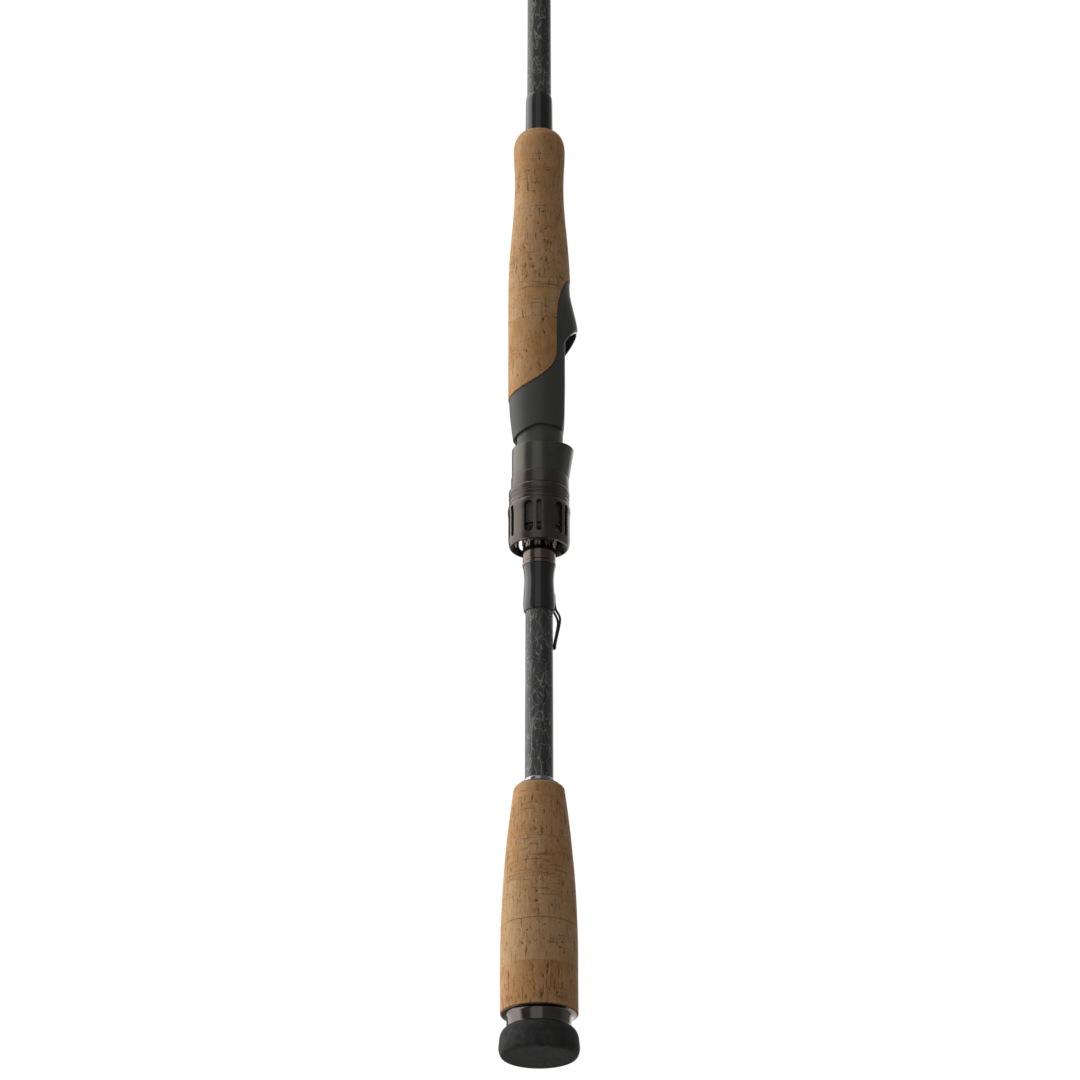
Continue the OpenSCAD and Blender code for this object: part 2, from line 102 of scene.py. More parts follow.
def bend(a, b, c, steps=8):
    """A curve from a to c whose ends point at b."""
    a, b, c = Vector(a), Vector(b), Vector(c)
    spots = [i / steps for i in range(steps + 1)]
    return [tuple((1 - t) ** 2 * a + 2 * t * (1 - t) * b + t**2 * c) for t in spots]


def step_up(z, start, stop):
    """A smooth step from 0 at height start to 1 at height stop."""
    return (1 - np.cos(np.pi * np.clip((np.asarray(z, float) - start) / (stop - start), 0, 1))) / 2


def eased(corners, radius=0.2, steps=3, closed=True):
    """An outline with its corners eased; a corner with a third number has that radius."""
    n = len(corners)
    out = []
    for i, corner in enumerate(corners):
        b = Vector(corner[:2])
        r = corner[2] if len(corner) > 2 else radius
        if r <= 0 or (not closed and i in (0, n - 1)):
            out.append(tuple(b))
            continue
        a, c = Vector(corners[i - 1][:2]), Vector(corners[(i + 1) % n][:2])
        cut = min(r, 0.45 * (a - b).length, 0.45 * (c - b).length)
        s, e = b + (a - b).normalized() * cut, b + (c - b).normalized() * cut
        for k in range(steps + 1):
            t = k / steps
            out.append(tuple((1 - t) ** 2 * s + 2 * t * (1 - t) * b + t**2 * e))
    return out


# ---------------------------------------------------------------- meshes


def clean_mesh(name, verts, faces):
    """A mesh from millimetre vertices, with doubles merged and its faces turned outwards."""
    mesh = bpy.data.meshes.new(name)
    mesh.from_pydata([tuple(c * MM for c in v) for v in verts], [], faces)
    bm = bmesh.new()
    bm.from_mesh(mesh)
    bmesh.ops.remove_doubles(bm, verts=bm.verts, dist=0.0005 * MM)
    bmesh.ops.recalc_face_normals(bm, faces=bm.faces)
    bm.to_mesh(mesh)
    bm.free()
    return mesh


def finish_mesh(name, verts, faces, body, material, replaces, sharp=38.0):
    """Makes an object from millimetre vertices, and rides it on its body."""
    mesh = clean_mesh(name, verts, faces)
    mesh.shade_smooth()
    mesh.set_sharp_from_angle(angle=math.radians(sharp))
    obj = bpy.data.objects.new(name, mesh)
    bpy.context.scene.collection.objects.link(obj)
    obj.data.materials.append(material)
    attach(obj, body)
    if replaces:
        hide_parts(*replaces)
    return obj


def lathe(name, outline, body, material, replaces=(), turns=144, shift=0.0, relief=None, sharp=38.0):
    """Turns a section round the axis. An outline whose ends lie on the axis makes a solid piece,
    and any other is a closed loop. relief(angle, r, z) gives a change of radius."""
    solid = outline[0][0] < 1e-6 and outline[-1][0] < 1e-6
    rows = outline[1:-1] if solid else outline
    r0 = np.array([p[0] for p in rows])
    z0 = np.array([p[1] for p in rows])
    verts = []
    for i in range(turns):
        a = 2 * math.pi * i / turns
        r = r0 + relief(a, r0, z0) if relief else r0
        verts += [(shift + q * math.cos(a), q * math.sin(a), z) for q, z in zip(r, z0)]
    n = len(rows)
    faces = []
    for i in range(turns):
        a, b = i * n, (i + 1) % turns * n
        for j in range(n - 1 if solid else n):
            k = (j + 1) % n
            faces.append((a + j, b + j, b + k, a + k))
    if solid:
        for end, at in ((outline[0], 0), (outline[-1], n - 1)):
            verts.append((shift, 0, end[1]))
            centre = len(verts) - 1
            faces += [(centre, i * n + at, (i + 1) % turns * n + at) for i in range(turns)]
    return finish_mesh(name, verts, faces, body, material, replaces, sharp)


def segment_gap(points, starts, ends):
    """Distance from each point to the nearest of a set of segments, in the plane."""
    best = np.full(len(points), 1e9)
    for s, e in zip(starts, ends):
        d = e - s
        t = np.clip(((points - s) @ d) / max(d @ d, 1e-12), 0, 1)
        best = np.minimum(best, np.hypot(*(points - s - t[:, None] * d).T))
    return best


def within(points, loops):
    """Which points lie inside an odd number of loops."""
    x, y = points.T
    odd = np.zeros(len(points), bool)
    for loop in loops:
        a = np.asarray(loop)
        b = np.roll(a, -1, axis=0)
        for (x0, y0), (x1, y1) in zip(a, b):
            if y0 == y1:
                continue
            cross = ((y0 > y) != (y1 > y)) & (x < (x1 - x0) * (y - y0) / (y1 - y0) + x0)
            odd ^= cross
    return odd


def dense(loop, step):
    """A closed loop with extra points, so that none is further than step from the next."""
    out = []
    for (x0, y0), (x1, y1) in zip(loop, loop[1:] + loop[:1]):
        n = max(1, math.ceil(math.hypot(x1 - x0, y1 - y0) / step))
        out += [(x0 + (x1 - x0) * k / n, y0 + (y1 - y0) * k / n) for k in range(n)]
    return out


def wrap(
    name, loops, outer, bore, body, material, replaces=(), radius=13.0, step=0.8, rim=0.3, turn=0.0,
    sharp=38.0, finer=None,
):
    """A shell round the axis whose shape in the unrolled plane is a set of loops: the first is
    its outline, the rest are holes. u is the way round at that radius, v the height.
    outer(angle, z) and bore(angle, z) are its two surfaces, and rim rounds the outer edges."""
    half = math.pi * radius
    loops = [dense([tuple(p) for p in loop], step) for loop in loops]
    points, edges = [], []
    starts, ends = [], []
    for loop in loops:
        base = len(points)
        n = len(loop)
        points += loop
        edges += [(base + i, base + (i + 1) % n) for i in range(n)]
        for p, q in zip(loop, loop[1:] + loop[:1]):
            on_seam = abs(abs(p[0]) - half) < 1e-6 and abs(abs(q[0]) - half) < 1e-6
            if not on_seam:
                starts.append(p)
                ends.append(q)
    starts, ends = np.array(starts), np.array(ends)
    us = [p[0] for p in loops[0]]
    vs = [p[1] for p in loops[0]]
    grid = [np.mgrid[min(us):max(us):step, min(vs):max(vs):step].reshape(2, -1).T]
    if finer:
        (u0, u1, v0, v1), small = finer
        u, v = grid[0].T
        grid[0] = grid[0][~((u > u0) & (u < u1) & (v > v0) & (v < v1))]
        grid.append(np.mgrid[u0:u1:small, v0:v1:small].reshape(2, -1).T)
    grid = np.concatenate(grid)
    grid = grid[within(grid, loops)]
    gap = segment_gap(grid, starts, ends)
    grid = grid[(gap > rim * 1.15) & (np.abs(np.abs(grid[:, 0]) - half) > 0.2 * step)]
    points += [tuple(p) for p in grid]
    for share in (0.12, 0.35, 0.65, 1.0):
        for loop in loops:
            a = np.array(loop)
            d = np.roll(a, -1, axis=0) - np.roll(a, 1, axis=0)
            normal = np.stack([-d[:, 1], d[:, 0]], 1) / np.maximum(np.hypot(*d.T), 1e-9)[:, None]
            ring = np.concatenate([a + normal * rim * share, a - normal * rim * share])
            ring = ring[within(ring, loops)]
            near = segment_gap(ring, starts, ends)
            ring = ring[(near > rim * share * 0.9) & (np.abs(ring[:, 0]) < half - 0.05)]
            points += [tuple(p) for p in ring]
    out = delaunay_2d_cdt([Vector(p) for p in points], edges, [], 0, 1e-5)
    flat = np.array([tuple(p) for p in out[0]])
    tris = np.array([f for f in out[2]])
    middle = flat[tris].mean(1)
    area = np.abs(np.cross(flat[tris[:, 1]] - flat[tris[:, 0]], flat[tris[:, 2]] - flat[tris[:, 0]]))
    tris = tris[within(middle, loops) & (area > 1e-9)]
    gap = segment_gap(flat, starts, ends)
    inset = np.clip(rim - gap, 0, rim)
    drop = rim - np.sqrt(np.maximum(rim**2 - inset**2, 0))
    angle = flat[:, 0] / radius + turn
    r_out = outer(angle, flat[:, 1]) - drop
    r_in = np.minimum(bore(angle, flat[:, 1]), r_out - 0.05)
    c, s = np.cos(angle), np.sin(angle)
    n = len(flat)
    verts = np.concatenate([
        np.stack([r_out * c, r_out * s, flat[:, 1]], 1),
        np.stack([r_in * c, r_in * s, flat[:, 1]], 1),
    ])
    faces = [tuple(t) for t in tris.tolist()]
    faces += [(c3 + n, b3 + n, a3 + n) for a3, b3, c3 in tris.tolist()]
    seen = {}
    for a3, b3, c3 in tris.tolist():
        for e in ((a3, b3), (b3, c3), (c3, a3)):
            key = tuple(sorted(e))
            seen[key] = seen.get(key, 0) + 1
    for (i, j), count in seen.items():
        on_seam = abs(abs(flat[i][0]) - half) < 1e-5 and abs(abs(flat[j][0]) - half) < 1e-5
        if count == 1 and not on_seam:
            faces.append((i, j, j + n, i + n))
    return finish_mesh(name, verts.tolist(), faces, body, material, replaces, sharp)


def tube_along(name, paths, radius, body, material, replaces=(), sides=16):
    """Round wires along smooth paths, each closed by a dome, as one mesh."""
    verts, faces = [], []
    for path in paths:
        p = [Vector(q) for q in path]
        up = None
        rings = []
        tangents = [(p[min(i + 1, len(p) - 1)] - p[max(i - 1, 0)]).normalized() for i in range(len(p))]
        stations = []
        for k in (2, 1):
            back = radius * math.sin(k * math.pi / 6)
            stations.append((p[0] - tangents[0] * back, tangents[0], radius * math.cos(k * math.pi / 6)))
        stations += [(q, t, radius) for q, t in zip(p, tangents)]
        for k in (1, 2):
            on = radius * math.sin(k * math.pi / 6)
            stations.append((p[-1] + tangents[-1] * on, tangents[-1], radius * math.cos(k * math.pi / 6)))
        for centre, t, r in stations:
            if up is None:
                up = t.orthogonal().normalized()
            up = (up - t * up.dot(t)).normalized()
            side = t.cross(up)
            base = len(verts)
            for j in range(sides):
                a = 2 * math.pi * j / sides
                verts.append(tuple(centre + (up * math.cos(a) + side * math.sin(a)) * r))
            rings.append(base)
        for a, b in zip(rings, rings[1:]):
            for j in range(sides):
                k = (j + 1) % sides
                faces.append((a + j, a + k, b + k, b + j))
        faces.append(tuple(range(rings[0], rings[0] + sides)))
        faces.append(tuple(range(rings[-1], rings[-1] + sides)))
    return finish_mesh(name, verts, faces, body, material, replaces, 60.0)


# ---------------------------------------------------------------- materials


class Finish:
    """A node material that is written as a few short lines."""

    def __init__(self, name, **sockets):
        self.material = bpy.data.materials.new(name)
        self.material.use_nodes = True
        self.tree = self.material.node_tree
        self.shader = next(n for n in self.tree.nodes if n.type == "BSDF_PRINCIPLED")
        for key, value in sockets.items():
            self.shader.inputs[key.replace("_", " ")].default_value = value
        self.place = self.node("ShaderNodeTexCoord").outputs["Object"]

    def node(self, kind, **settings):
        made = self.tree.nodes.new(kind)
        for key, value in settings.items():
            setattr(made, key, value)
        return made

    def link(self, a, b):
        self.tree.links.new(a, b)

    def mapped(self, stretch=(1, 1, 1), offset=(0, 0, 0)):
        """Object coordinates in millimetres times a stretch."""
        made = self.node("ShaderNodeMapping")
        made.inputs["Scale"].default_value = [s / MM for s in stretch]
        made.inputs["Location"].default_value = offset
        self.link(self.place, made.inputs["Vector"])
        return made.outputs["Vector"]

    def noise(self, at, scale=1.0, detail=4.0, rough=0.55, warp=0.0):
        made = self.node("ShaderNodeTexNoise")
        made.inputs["Scale"].default_value = scale
        made.inputs["Detail"].default_value = detail
        made.inputs["Roughness"].default_value = rough
        made.inputs["Distortion"].default_value = warp
        self.link(at, made.inputs["Vector"])
        return made.outputs["Fac"]

    def span(self, value, low_in, high_in, low_out=0.0, high_out=1.0):
        """Maps a value smoothly from one range to another."""
        made = self.node("ShaderNodeMapRange", interpolation_type="SMOOTHSTEP")
        for key, v in zip(("From Min", "From Max", "To Min", "To Max"), (low_in, high_in, low_out, high_out)):
            made.inputs[key].default_value = v
        self.link(value, made.inputs["Value"])
        return made.outputs["Result"]

    def math(self, how, a, b=0.5):
        made = self.node("ShaderNodeMath", operation=how)
        for socket, v in zip(made.inputs, (a, b)):
            if isinstance(v, (int, float)):
                socket.default_value = v
            else:
                self.link(v, socket)
        return made.outputs[0]

    def mix(self, share, a, b):
        """Mixes two colours, or a colour socket with a colour."""
        made = self.node("ShaderNodeMix", data_type="RGBA")
        made.clamp_factor = True
        if isinstance(share, (int, float)):
            made.inputs[0].default_value = share
        else:
            self.link(share, made.inputs[0])
        for socket, v in ((made.inputs[6], a), (made.inputs[7], b)):
            if isinstance(v, tuple):
                socket.default_value = (*v, 1.0)
            else:
                self.link(v, socket)
        return made.outputs[2]

    def colour(self, value):
        self.link(value, self.shader.inputs["Base Color"])

    def roughness(self, value):
        self.link(value, self.shader.inputs["Roughness"])

    def bump(self, height, strength=0.3, depth_mm=0.05):
        made = self.node("ShaderNodeBump")
        made.inputs["Strength"].default_value = strength
        made.inputs["Distance"].default_value = depth_mm * MM
        self.link(height, made.inputs["Height"])
        previous = self.shader.inputs["Normal"].links
        if previous:
            self.link(previous[0].from_socket, made.inputs["Normal"])
        self.link(made.outputs["Normal"], self.shader.inputs["Normal"])


def plain_finish(name, base, tone, rough, spread=0.06, grain=1.2, grain_bump=0.012, **sockets):
    """A moulded, painted or metal surface: slight changes of tone and gloss, and a fine grain."""
    f = Finish(name, **sockets)
    slow = f.noise(f.mapped(), 0.09, 3)
    fine = f.noise(f.mapped(), grain, 5, 0.6)
    f.colour(f.mix(f.span(slow, 0.35, 0.65), base, tone))
    f.roughness(f.span(f.math("ADD", slow, fine), 0.7, 1.3, rough - spread, rough + spread))
    f.bump(fine, 0.5, grain_bump)
    return f


def cork(name, seed, tone=0.5, lines=0.5, cracks=0.5, pits=0.5):
    """One ring's cork: warm tan, strokes running up it, growth lines across it, pits, and painted shade along
    the seam at its lower end.
    """
    f = Finish(name, Specular_IOR_Level=0.25)
    r = random.Random(seed)
    x, y, z = (r.uniform(-40, 40) for _ in range(3))
    light, pale, warm = (0.90, 0.61, 0.34), (0.79, 0.49, 0.245), (0.70, 0.360, 0.140)
    deep, dark = (0.36, 0.155, 0.050), (0.110, 0.042, 0.014)
    broad = f.noise(f.mapped((1, 1, 1), (x, y, z)), 0.085, 3, 0.5, 0.4)
    base = f.mix(f.math("ADD", f.span(broad, 0.33, 0.68, 0, 0.7), tone * 0.6 - 0.15), pale, warm)
    stroke = f.noise(f.mapped((1, 1, 0.12), (y, z, x)), 1.0, 6, 0.68)
    base = f.mix(f.span(stroke, 0.50, 0.70, 0, 0.55), base, deep)
    base = f.mix(f.span(stroke, 0.46, 0.30, 0, 0.45), base, light)
    grain = f.noise(f.mapped((1, 1, 1), (z, x, y)), 1.9, 6, 0.7)
    base = f.mix(f.span(grain, 0.50, 0.70, 0, 0.45), base, deep)
    base = f.mix(f.span(grain, 0.45, 0.30, 0, 0.30), base, light)
    zone = f.noise(f.mapped((0.5, 0.5, 1.0), (x, z, y)), 0.16, 2)
    zone = f.span(zone, 0.60 - 0.25 * lines, 0.70 - 0.2 * lines)
    thin = f.noise(f.mapped((0.07, 0.07, 1.0), (x, y, z)), 1.25, 5, 0.6, 0.25)
    line = f.math("MULTIPLY", f.span(thin, 0.54, 0.64), zone)
    base = f.mix(f.math("MULTIPLY", line, 0.6), base, deep)
    crack = f.noise(f.mapped((1, 1, 0.13), (y, z, x)), 0.9, 4, 0.6, 0.35)
    where = f.noise(f.mapped((1, 1, 0.5), (z, x, y)), 0.17, 2)
    crack = f.math("MULTIPLY", f.span(crack, 0.640 - 0.05 * cracks, 0.695 - 0.05 * cracks),
                   f.span(where, 0.50 - 0.1 * cracks, 0.56 - 0.1 * cracks))
    hole = f.noise(f.mapped((1, 1, 0.6), (x, z, y)), 1.3, 3, 0.5, 0.3)
    spread = f.noise(f.mapped((1, 1, 0.8), (y, x, z)), 0.21, 2)
    hole = f.math("MULTIPLY", f.span(hole, 0.655 - 0.045 * pits, 0.705 - 0.045 * pits),
                  f.span(spread, 0.48 - 0.08 * pits, 0.56 - 0.08 * pits))
    flaw = f.math("MAXIMUM", crack, hole)
    base = f.mix(f.math("MULTIPLY", flaw, 0.7), base, dark)
    # The flaw attribute holds the cut marks and a band of painted seam shade at the ring's lower end; both
    # darken the cork here
    marks_and_seam_shade = f.node("ShaderNodeAttribute", attribute_name="flaw").outputs["Fac"]
    rough_edge = f.math("SUBTRACT", f.math("ADD", grain, stroke), 1.0)
    ragged = f.math("ADD", marks_and_seam_shade, f.math("MULTIPLY", rough_edge, 1.6))
    base = f.mix(f.span(ragged, 0.45, 0.95, 0.0, 0.78), base, dark)
    f.colour(base)
    f.roughness(f.span(grain, 0.3, 0.7, 0.60, 0.80))
    swell = f.math("MULTIPLY", f.math("ADD", grain, stroke), 0.6)
    height = f.math("SUBTRACT", swell, f.math("MULTIPLY", flaw, 0.7))
    height = f.math("SUBTRACT", height, f.math("MULTIPLY", line, 0.3))
    f.bump(height, 0.9, 0.35)
    return f.material


# Layers of strands in the blank's finish: stretch, scale and width
STRANDS = [
    ((1, 1, 0.30), 0.20, 0.011), ((1, 1, 0.55), 0.16, 0.009), ((1, 1, 0.18), 0.26, 0.014),
    ((1, 1, 0.8), 0.13, 0.007),
    ((1, 1, 0.42), 0.24, 0.012), ((1, 1, 0.25), 0.17, 0.010), ((1, 1, 0.65), 0.21, 0.010),
]


def charcoal_blank():
    """Charcoal under a satin coat, with fine pale strands that cross in a loose web."""
    f = Finish("blank_charcoal", Specular_IOR_Level=0.35, Coat_Weight=0.2, Coat_Roughness=0.25)
    cloud = f.noise(f.mapped((1, 1, 0.35)), 0.16, 4, 0.6, 0.5)
    base = f.mix(f.span(cloud, 0.35, 0.7), (0.050, 0.056, 0.059), (0.074, 0.075, 0.070))
    web = None
    for i, (stretch, scale, wide) in enumerate(STRANDS):
        at = f.mapped(stretch, (i * 13.7, i * 7.3, i * 5.9))
        line = f.math("ABSOLUTE", f.math("SUBTRACT", f.noise(at, scale, 1, 0.4, 0.6), 0.5))
        there = f.noise(f.mapped((1, 1, 0.5), (i * 5, 3, i * 21)), 0.16, 2)
        strand = f.math("MULTIPLY", f.span(line, wide, wide * 0.2), f.span(there, 0.44, 0.54))
        web = strand if web is None else f.math("MAXIMUM", web, strand)
    f.colour(f.mix(f.math("MULTIPLY", web, 0.75), base, (0.40, 0.41, 0.40)))
    f.roughness(f.span(cloud, 0.3, 0.7, 0.38, 0.48))
    f.bump(web, 0.3, 0.02)
    f.bump(f.noise(f.mapped((1, 1, 0.4)), 2.2, 3), 0.15, 0.01)
    return f.material


def varnished_thread():
    """Black winding thread under a thick clear varnish."""
    f = Finish("winding_varnish", Specular_IOR_Level=0.2, Coat_Weight=0.85, Coat_Roughness=0.05, Coat_IOR=1.5)
    wave = f.node("ShaderNodeTexWave", wave_type="BANDS", bands_direction="Z")
    wave.inputs["Scale"].default_value = 1.3
    wave.inputs["Distortion"].default_value = 0.25
    wave.inputs["Detail"].default_value = 1.0
    f.link(f.mapped(), wave.inputs["Vector"])
    fine = f.noise(f.mapped((1, 1, 2)), 0.8, 3)
    base = f.mix(f.span(wave.outputs["Fac"], 0.1, 0.9), (0.010, 0.012, 0.012), (0.018, 0.021, 0.021))
    f.colour(base)
    f.roughness(f.span(fine, 0.3, 0.7, 0.45, 0.60))
    f.bump(wave.outputs["Fac"], 0.15, 0.01)
    f.bump(f.noise(f.mapped((1, 1, 0.6)), 0.22, 2), 0.10, 0.06)
    return f.material


def foam():
    """Closed-cell foam rubber with a sanded, mottled surface."""
    f = Finish("butt_foam", Specular_IOR_Level=0.3)
    mottle = f.noise(f.mapped(), 0.35, 5, 0.65, 0.3)
    cells = f.noise(f.mapped(), 3.2, 4, 0.7)
    base = f.mix(f.span(mottle, 0.36, 0.66), (0.030, 0.036, 0.037), (0.060, 0.062, 0.054))
    base = f.mix(f.math("MULTIPLY", f.span(cells, 0.55, 0.75), 0.4), base, (0.075, 0.075, 0.062))
    f.colour(base)
    f.roughness(f.span(cells, 0.3, 0.7, 0.72, 0.9))
    f.bump(cells, 0.8, 0.09)
    f.bump(mottle, 0.3, 0.12)
    return f.material


def turned_metal(name, base, tone, rough, metallic):
    """Anodised or plated metal with the faint rings that turning leaves."""
    f = Finish(name, Metallic=metallic)
    rings = f.noise(f.mapped((0.02, 0.02, 1)), 3.0, 3, 0.6)
    slow = f.noise(f.mapped(), 0.10, 3)
    f.colour(f.mix(f.span(slow, 0.35, 0.65), base, tone))
    f.roughness(f.span(f.math("ADD", rings, slow), 0.75, 1.25, max(rough - 0.03, 0.02), rough + 0.03))
    f.bump(rings, 0.1, 0.0008)
    return f.material


BLANK = charcoal_blank()
WINDING = varnished_thread()
FOAM = foam()
SEAT = plain_finish(
    "seat_soft_touch", (0.088, 0.091, 0.090), (0.100, 0.102, 0.097), 0.55, 0.05, 2.6, 0.02,
    Specular_IOR_Level=0.35
).material
BARREL = plain_finish(
    "barrel_plastic", (0.080, 0.082, 0.082), (0.092, 0.093, 0.090), 0.45, 0.06, 2.0, 0.012,
    Specular_IOR_Level=0.45
).material
HUB = plain_finish(
    "hub_plastic", (0.030, 0.030, 0.029), (0.040, 0.039, 0.037), 0.16, 0.05, 2.0, 0.006, Coat_Weight=0.8
).material
DISC = plain_finish(
    "disc_gloss", (0.014, 0.014, 0.015), (0.020, 0.020, 0.022), 0.18, 0.05, 1.5, 0.008, Coat_Weight=0.6
).material
WIRE = plain_finish(
    "keeper_black", (0.012, 0.011, 0.010), (0.020, 0.018, 0.016), 0.33, 0.06, 3.0, 0.01).material
HOOD = turned_metal("hood_gunmetal", (0.100, 0.101, 0.088), (0.115, 0.115, 0.098), 0.31, 0.82)
NUT = turned_metal("nut_gunmetal", (0.088, 0.077, 0.070), (0.100, 0.086, 0.077), 0.28, 0.75)
TRIM = turned_metal("trim_gunmetal", (0.140, 0.112, 0.098), (0.160, 0.128, 0.112), 0.17, 0.9)
BUTT_METAL = turned_metal("butt_ring_gloss", (0.105, 0.092, 0.087), (0.125, 0.108, 0.102), 0.11, 0.95)
SILVER = turned_metal("check_silver", (0.40, 0.40, 0.41), (0.34, 0.34, 0.35), 0.08, 1.0)
STEEL = turned_metal("liner_steel", (0.62, 0.62, 0.62), (0.72, 0.72, 0.72), 0.34, 0.75)
GUIDE = turned_metal("guide_gunmetal", (0.10, 0.105, 0.11), (0.13, 0.135, 0.14), 0.25, 0.9)
CERAMIC = plain_finish(
    "ring_ceramic", (0.16, 0.17, 0.19), (0.22, 0.23, 0.25), 0.10, 0.04, 2.0, 0.004, Coat_Weight=0.5
).material
CORE = plain_finish("core_plastic", (0.05, 0.05, 0.05), (0.07, 0.07, 0.07), 0.6).material


# ---------------------------------------------------------------- butt end


def butt_cap():
    top = high("butt_cap")
    side = smooth(
        [(14.4, 0.0), (15.6, 0.45), (16.35, 1.7), (16.7, 3.2), (16.72, 4.6), (16.57, 6.0), (16.3, 8.2),
         (15.85, 9.8), (15.0, 11.15), (14.0, 12.0), (13.2, top - 0.05)], 4)
    face = [(0.0, 0.25), (5.0, 0.22), (10.0, 0.12), (13.0, 0.02)]
    inner = [(12.2, top - 0.05), (6.7, top - 0.05), (6.7, 9.2), (0.0, 9.2)]
    rng = random.Random(4)
    limits = [(0, 6.28), (1, 11), (0.5, 1.6), (0.02, 0.07)]
    dents = [tuple(rng.uniform(a, b) for a, b in limits) for _ in range(70)]

    def relief(a, r, z):
        change = np.zeros(len(r))
        for at, height, size, deep in dents:
            d = (math.remainder(a - at, 2 * math.pi) * 16) ** 2 + (z - height) ** 2
            change -= deep * np.exp(-d / size**2) * (r > 13)
        return change

    lathe("cap", face + side + inner, "rod", FOAM, ["butt_cap"], 192, relief=relief)


def butt_ring():
    z = low("butt_ring")
    top = high("butt_ring") + 0.01
    outer = smooth(
        [(13.62, z), (13.50, z + 0.35), (13.45, z + 1.6), (13.46, z + 2.8), (13.56, z + 4.0),
         (13.85, z + 4.9), (14.55, z + 5.5), (15.25, z + 5.78)], 4)
    lip = [(15.42, z + 5.88), (15.45, z + 6.02), (15.36, top)]
    inner = [(12.5, top), (12.5, z)]
    lathe("butt_flare", outer + lip + inner, "rod", BUTT_METAL, ["butt_ring"], 192)


# Butt grip: its straight radius, where the taper starts, the taper's arc and its upper edge
BUTT_R, BUTT_BEND, BUTT_ARC, BUTT_EDGE = 16.1, 40.0, 540.0, 1.3
BUTT_TOP = high("butt_cork_6")
# Fore grip: radius and height of the straight, the neck, the lip and the rounded end
FORE_R, FORE_SHOULDER = 13.3, 348.0
FORE_NECK, FORE_NECK_Z = 10.55, 398.0
FORE_LIP, FORE_LIP_Z = 11.1, 414.0
FORE_END, FORE_TOP = 6.0, high("fore_cork_7")


def rounding(z, start, stop):
    """How far a round edge between two heights has turned in, from 0 to 1."""
    return 1 - np.sqrt(1 - np.clip((np.asarray(z, float) - start) / (stop - start), 0, 1) ** 2)


def butt_grip_r(z):
    """Radius of the butt grip at height z: straight, then falling along a long arc."""
    taper = np.maximum(np.asarray(z, float) - BUTT_BEND, 0) ** 2 / (2 * BUTT_ARC)
    return BUTT_R - taper - BUTT_EDGE * rounding(z, BUTT_TOP - BUTT_EDGE, BUTT_TOP)


def fore_grip_r(z):
    """Radius of the fore grip at height z: straight, down to the neck, then out to the lip."""
    neck = (FORE_NECK - FORE_R) * step_up(z, FORE_SHOULDER, FORE_NECK_Z)
    lip = (FORE_LIP - FORE_NECK) * step_up(z, FORE_NECK_Z, FORE_LIP_Z)
    return FORE_R + neck + lip - (FORE_LIP - FORE_END) * rounding(z, FORE_LIP_Z, FORE_TOP)


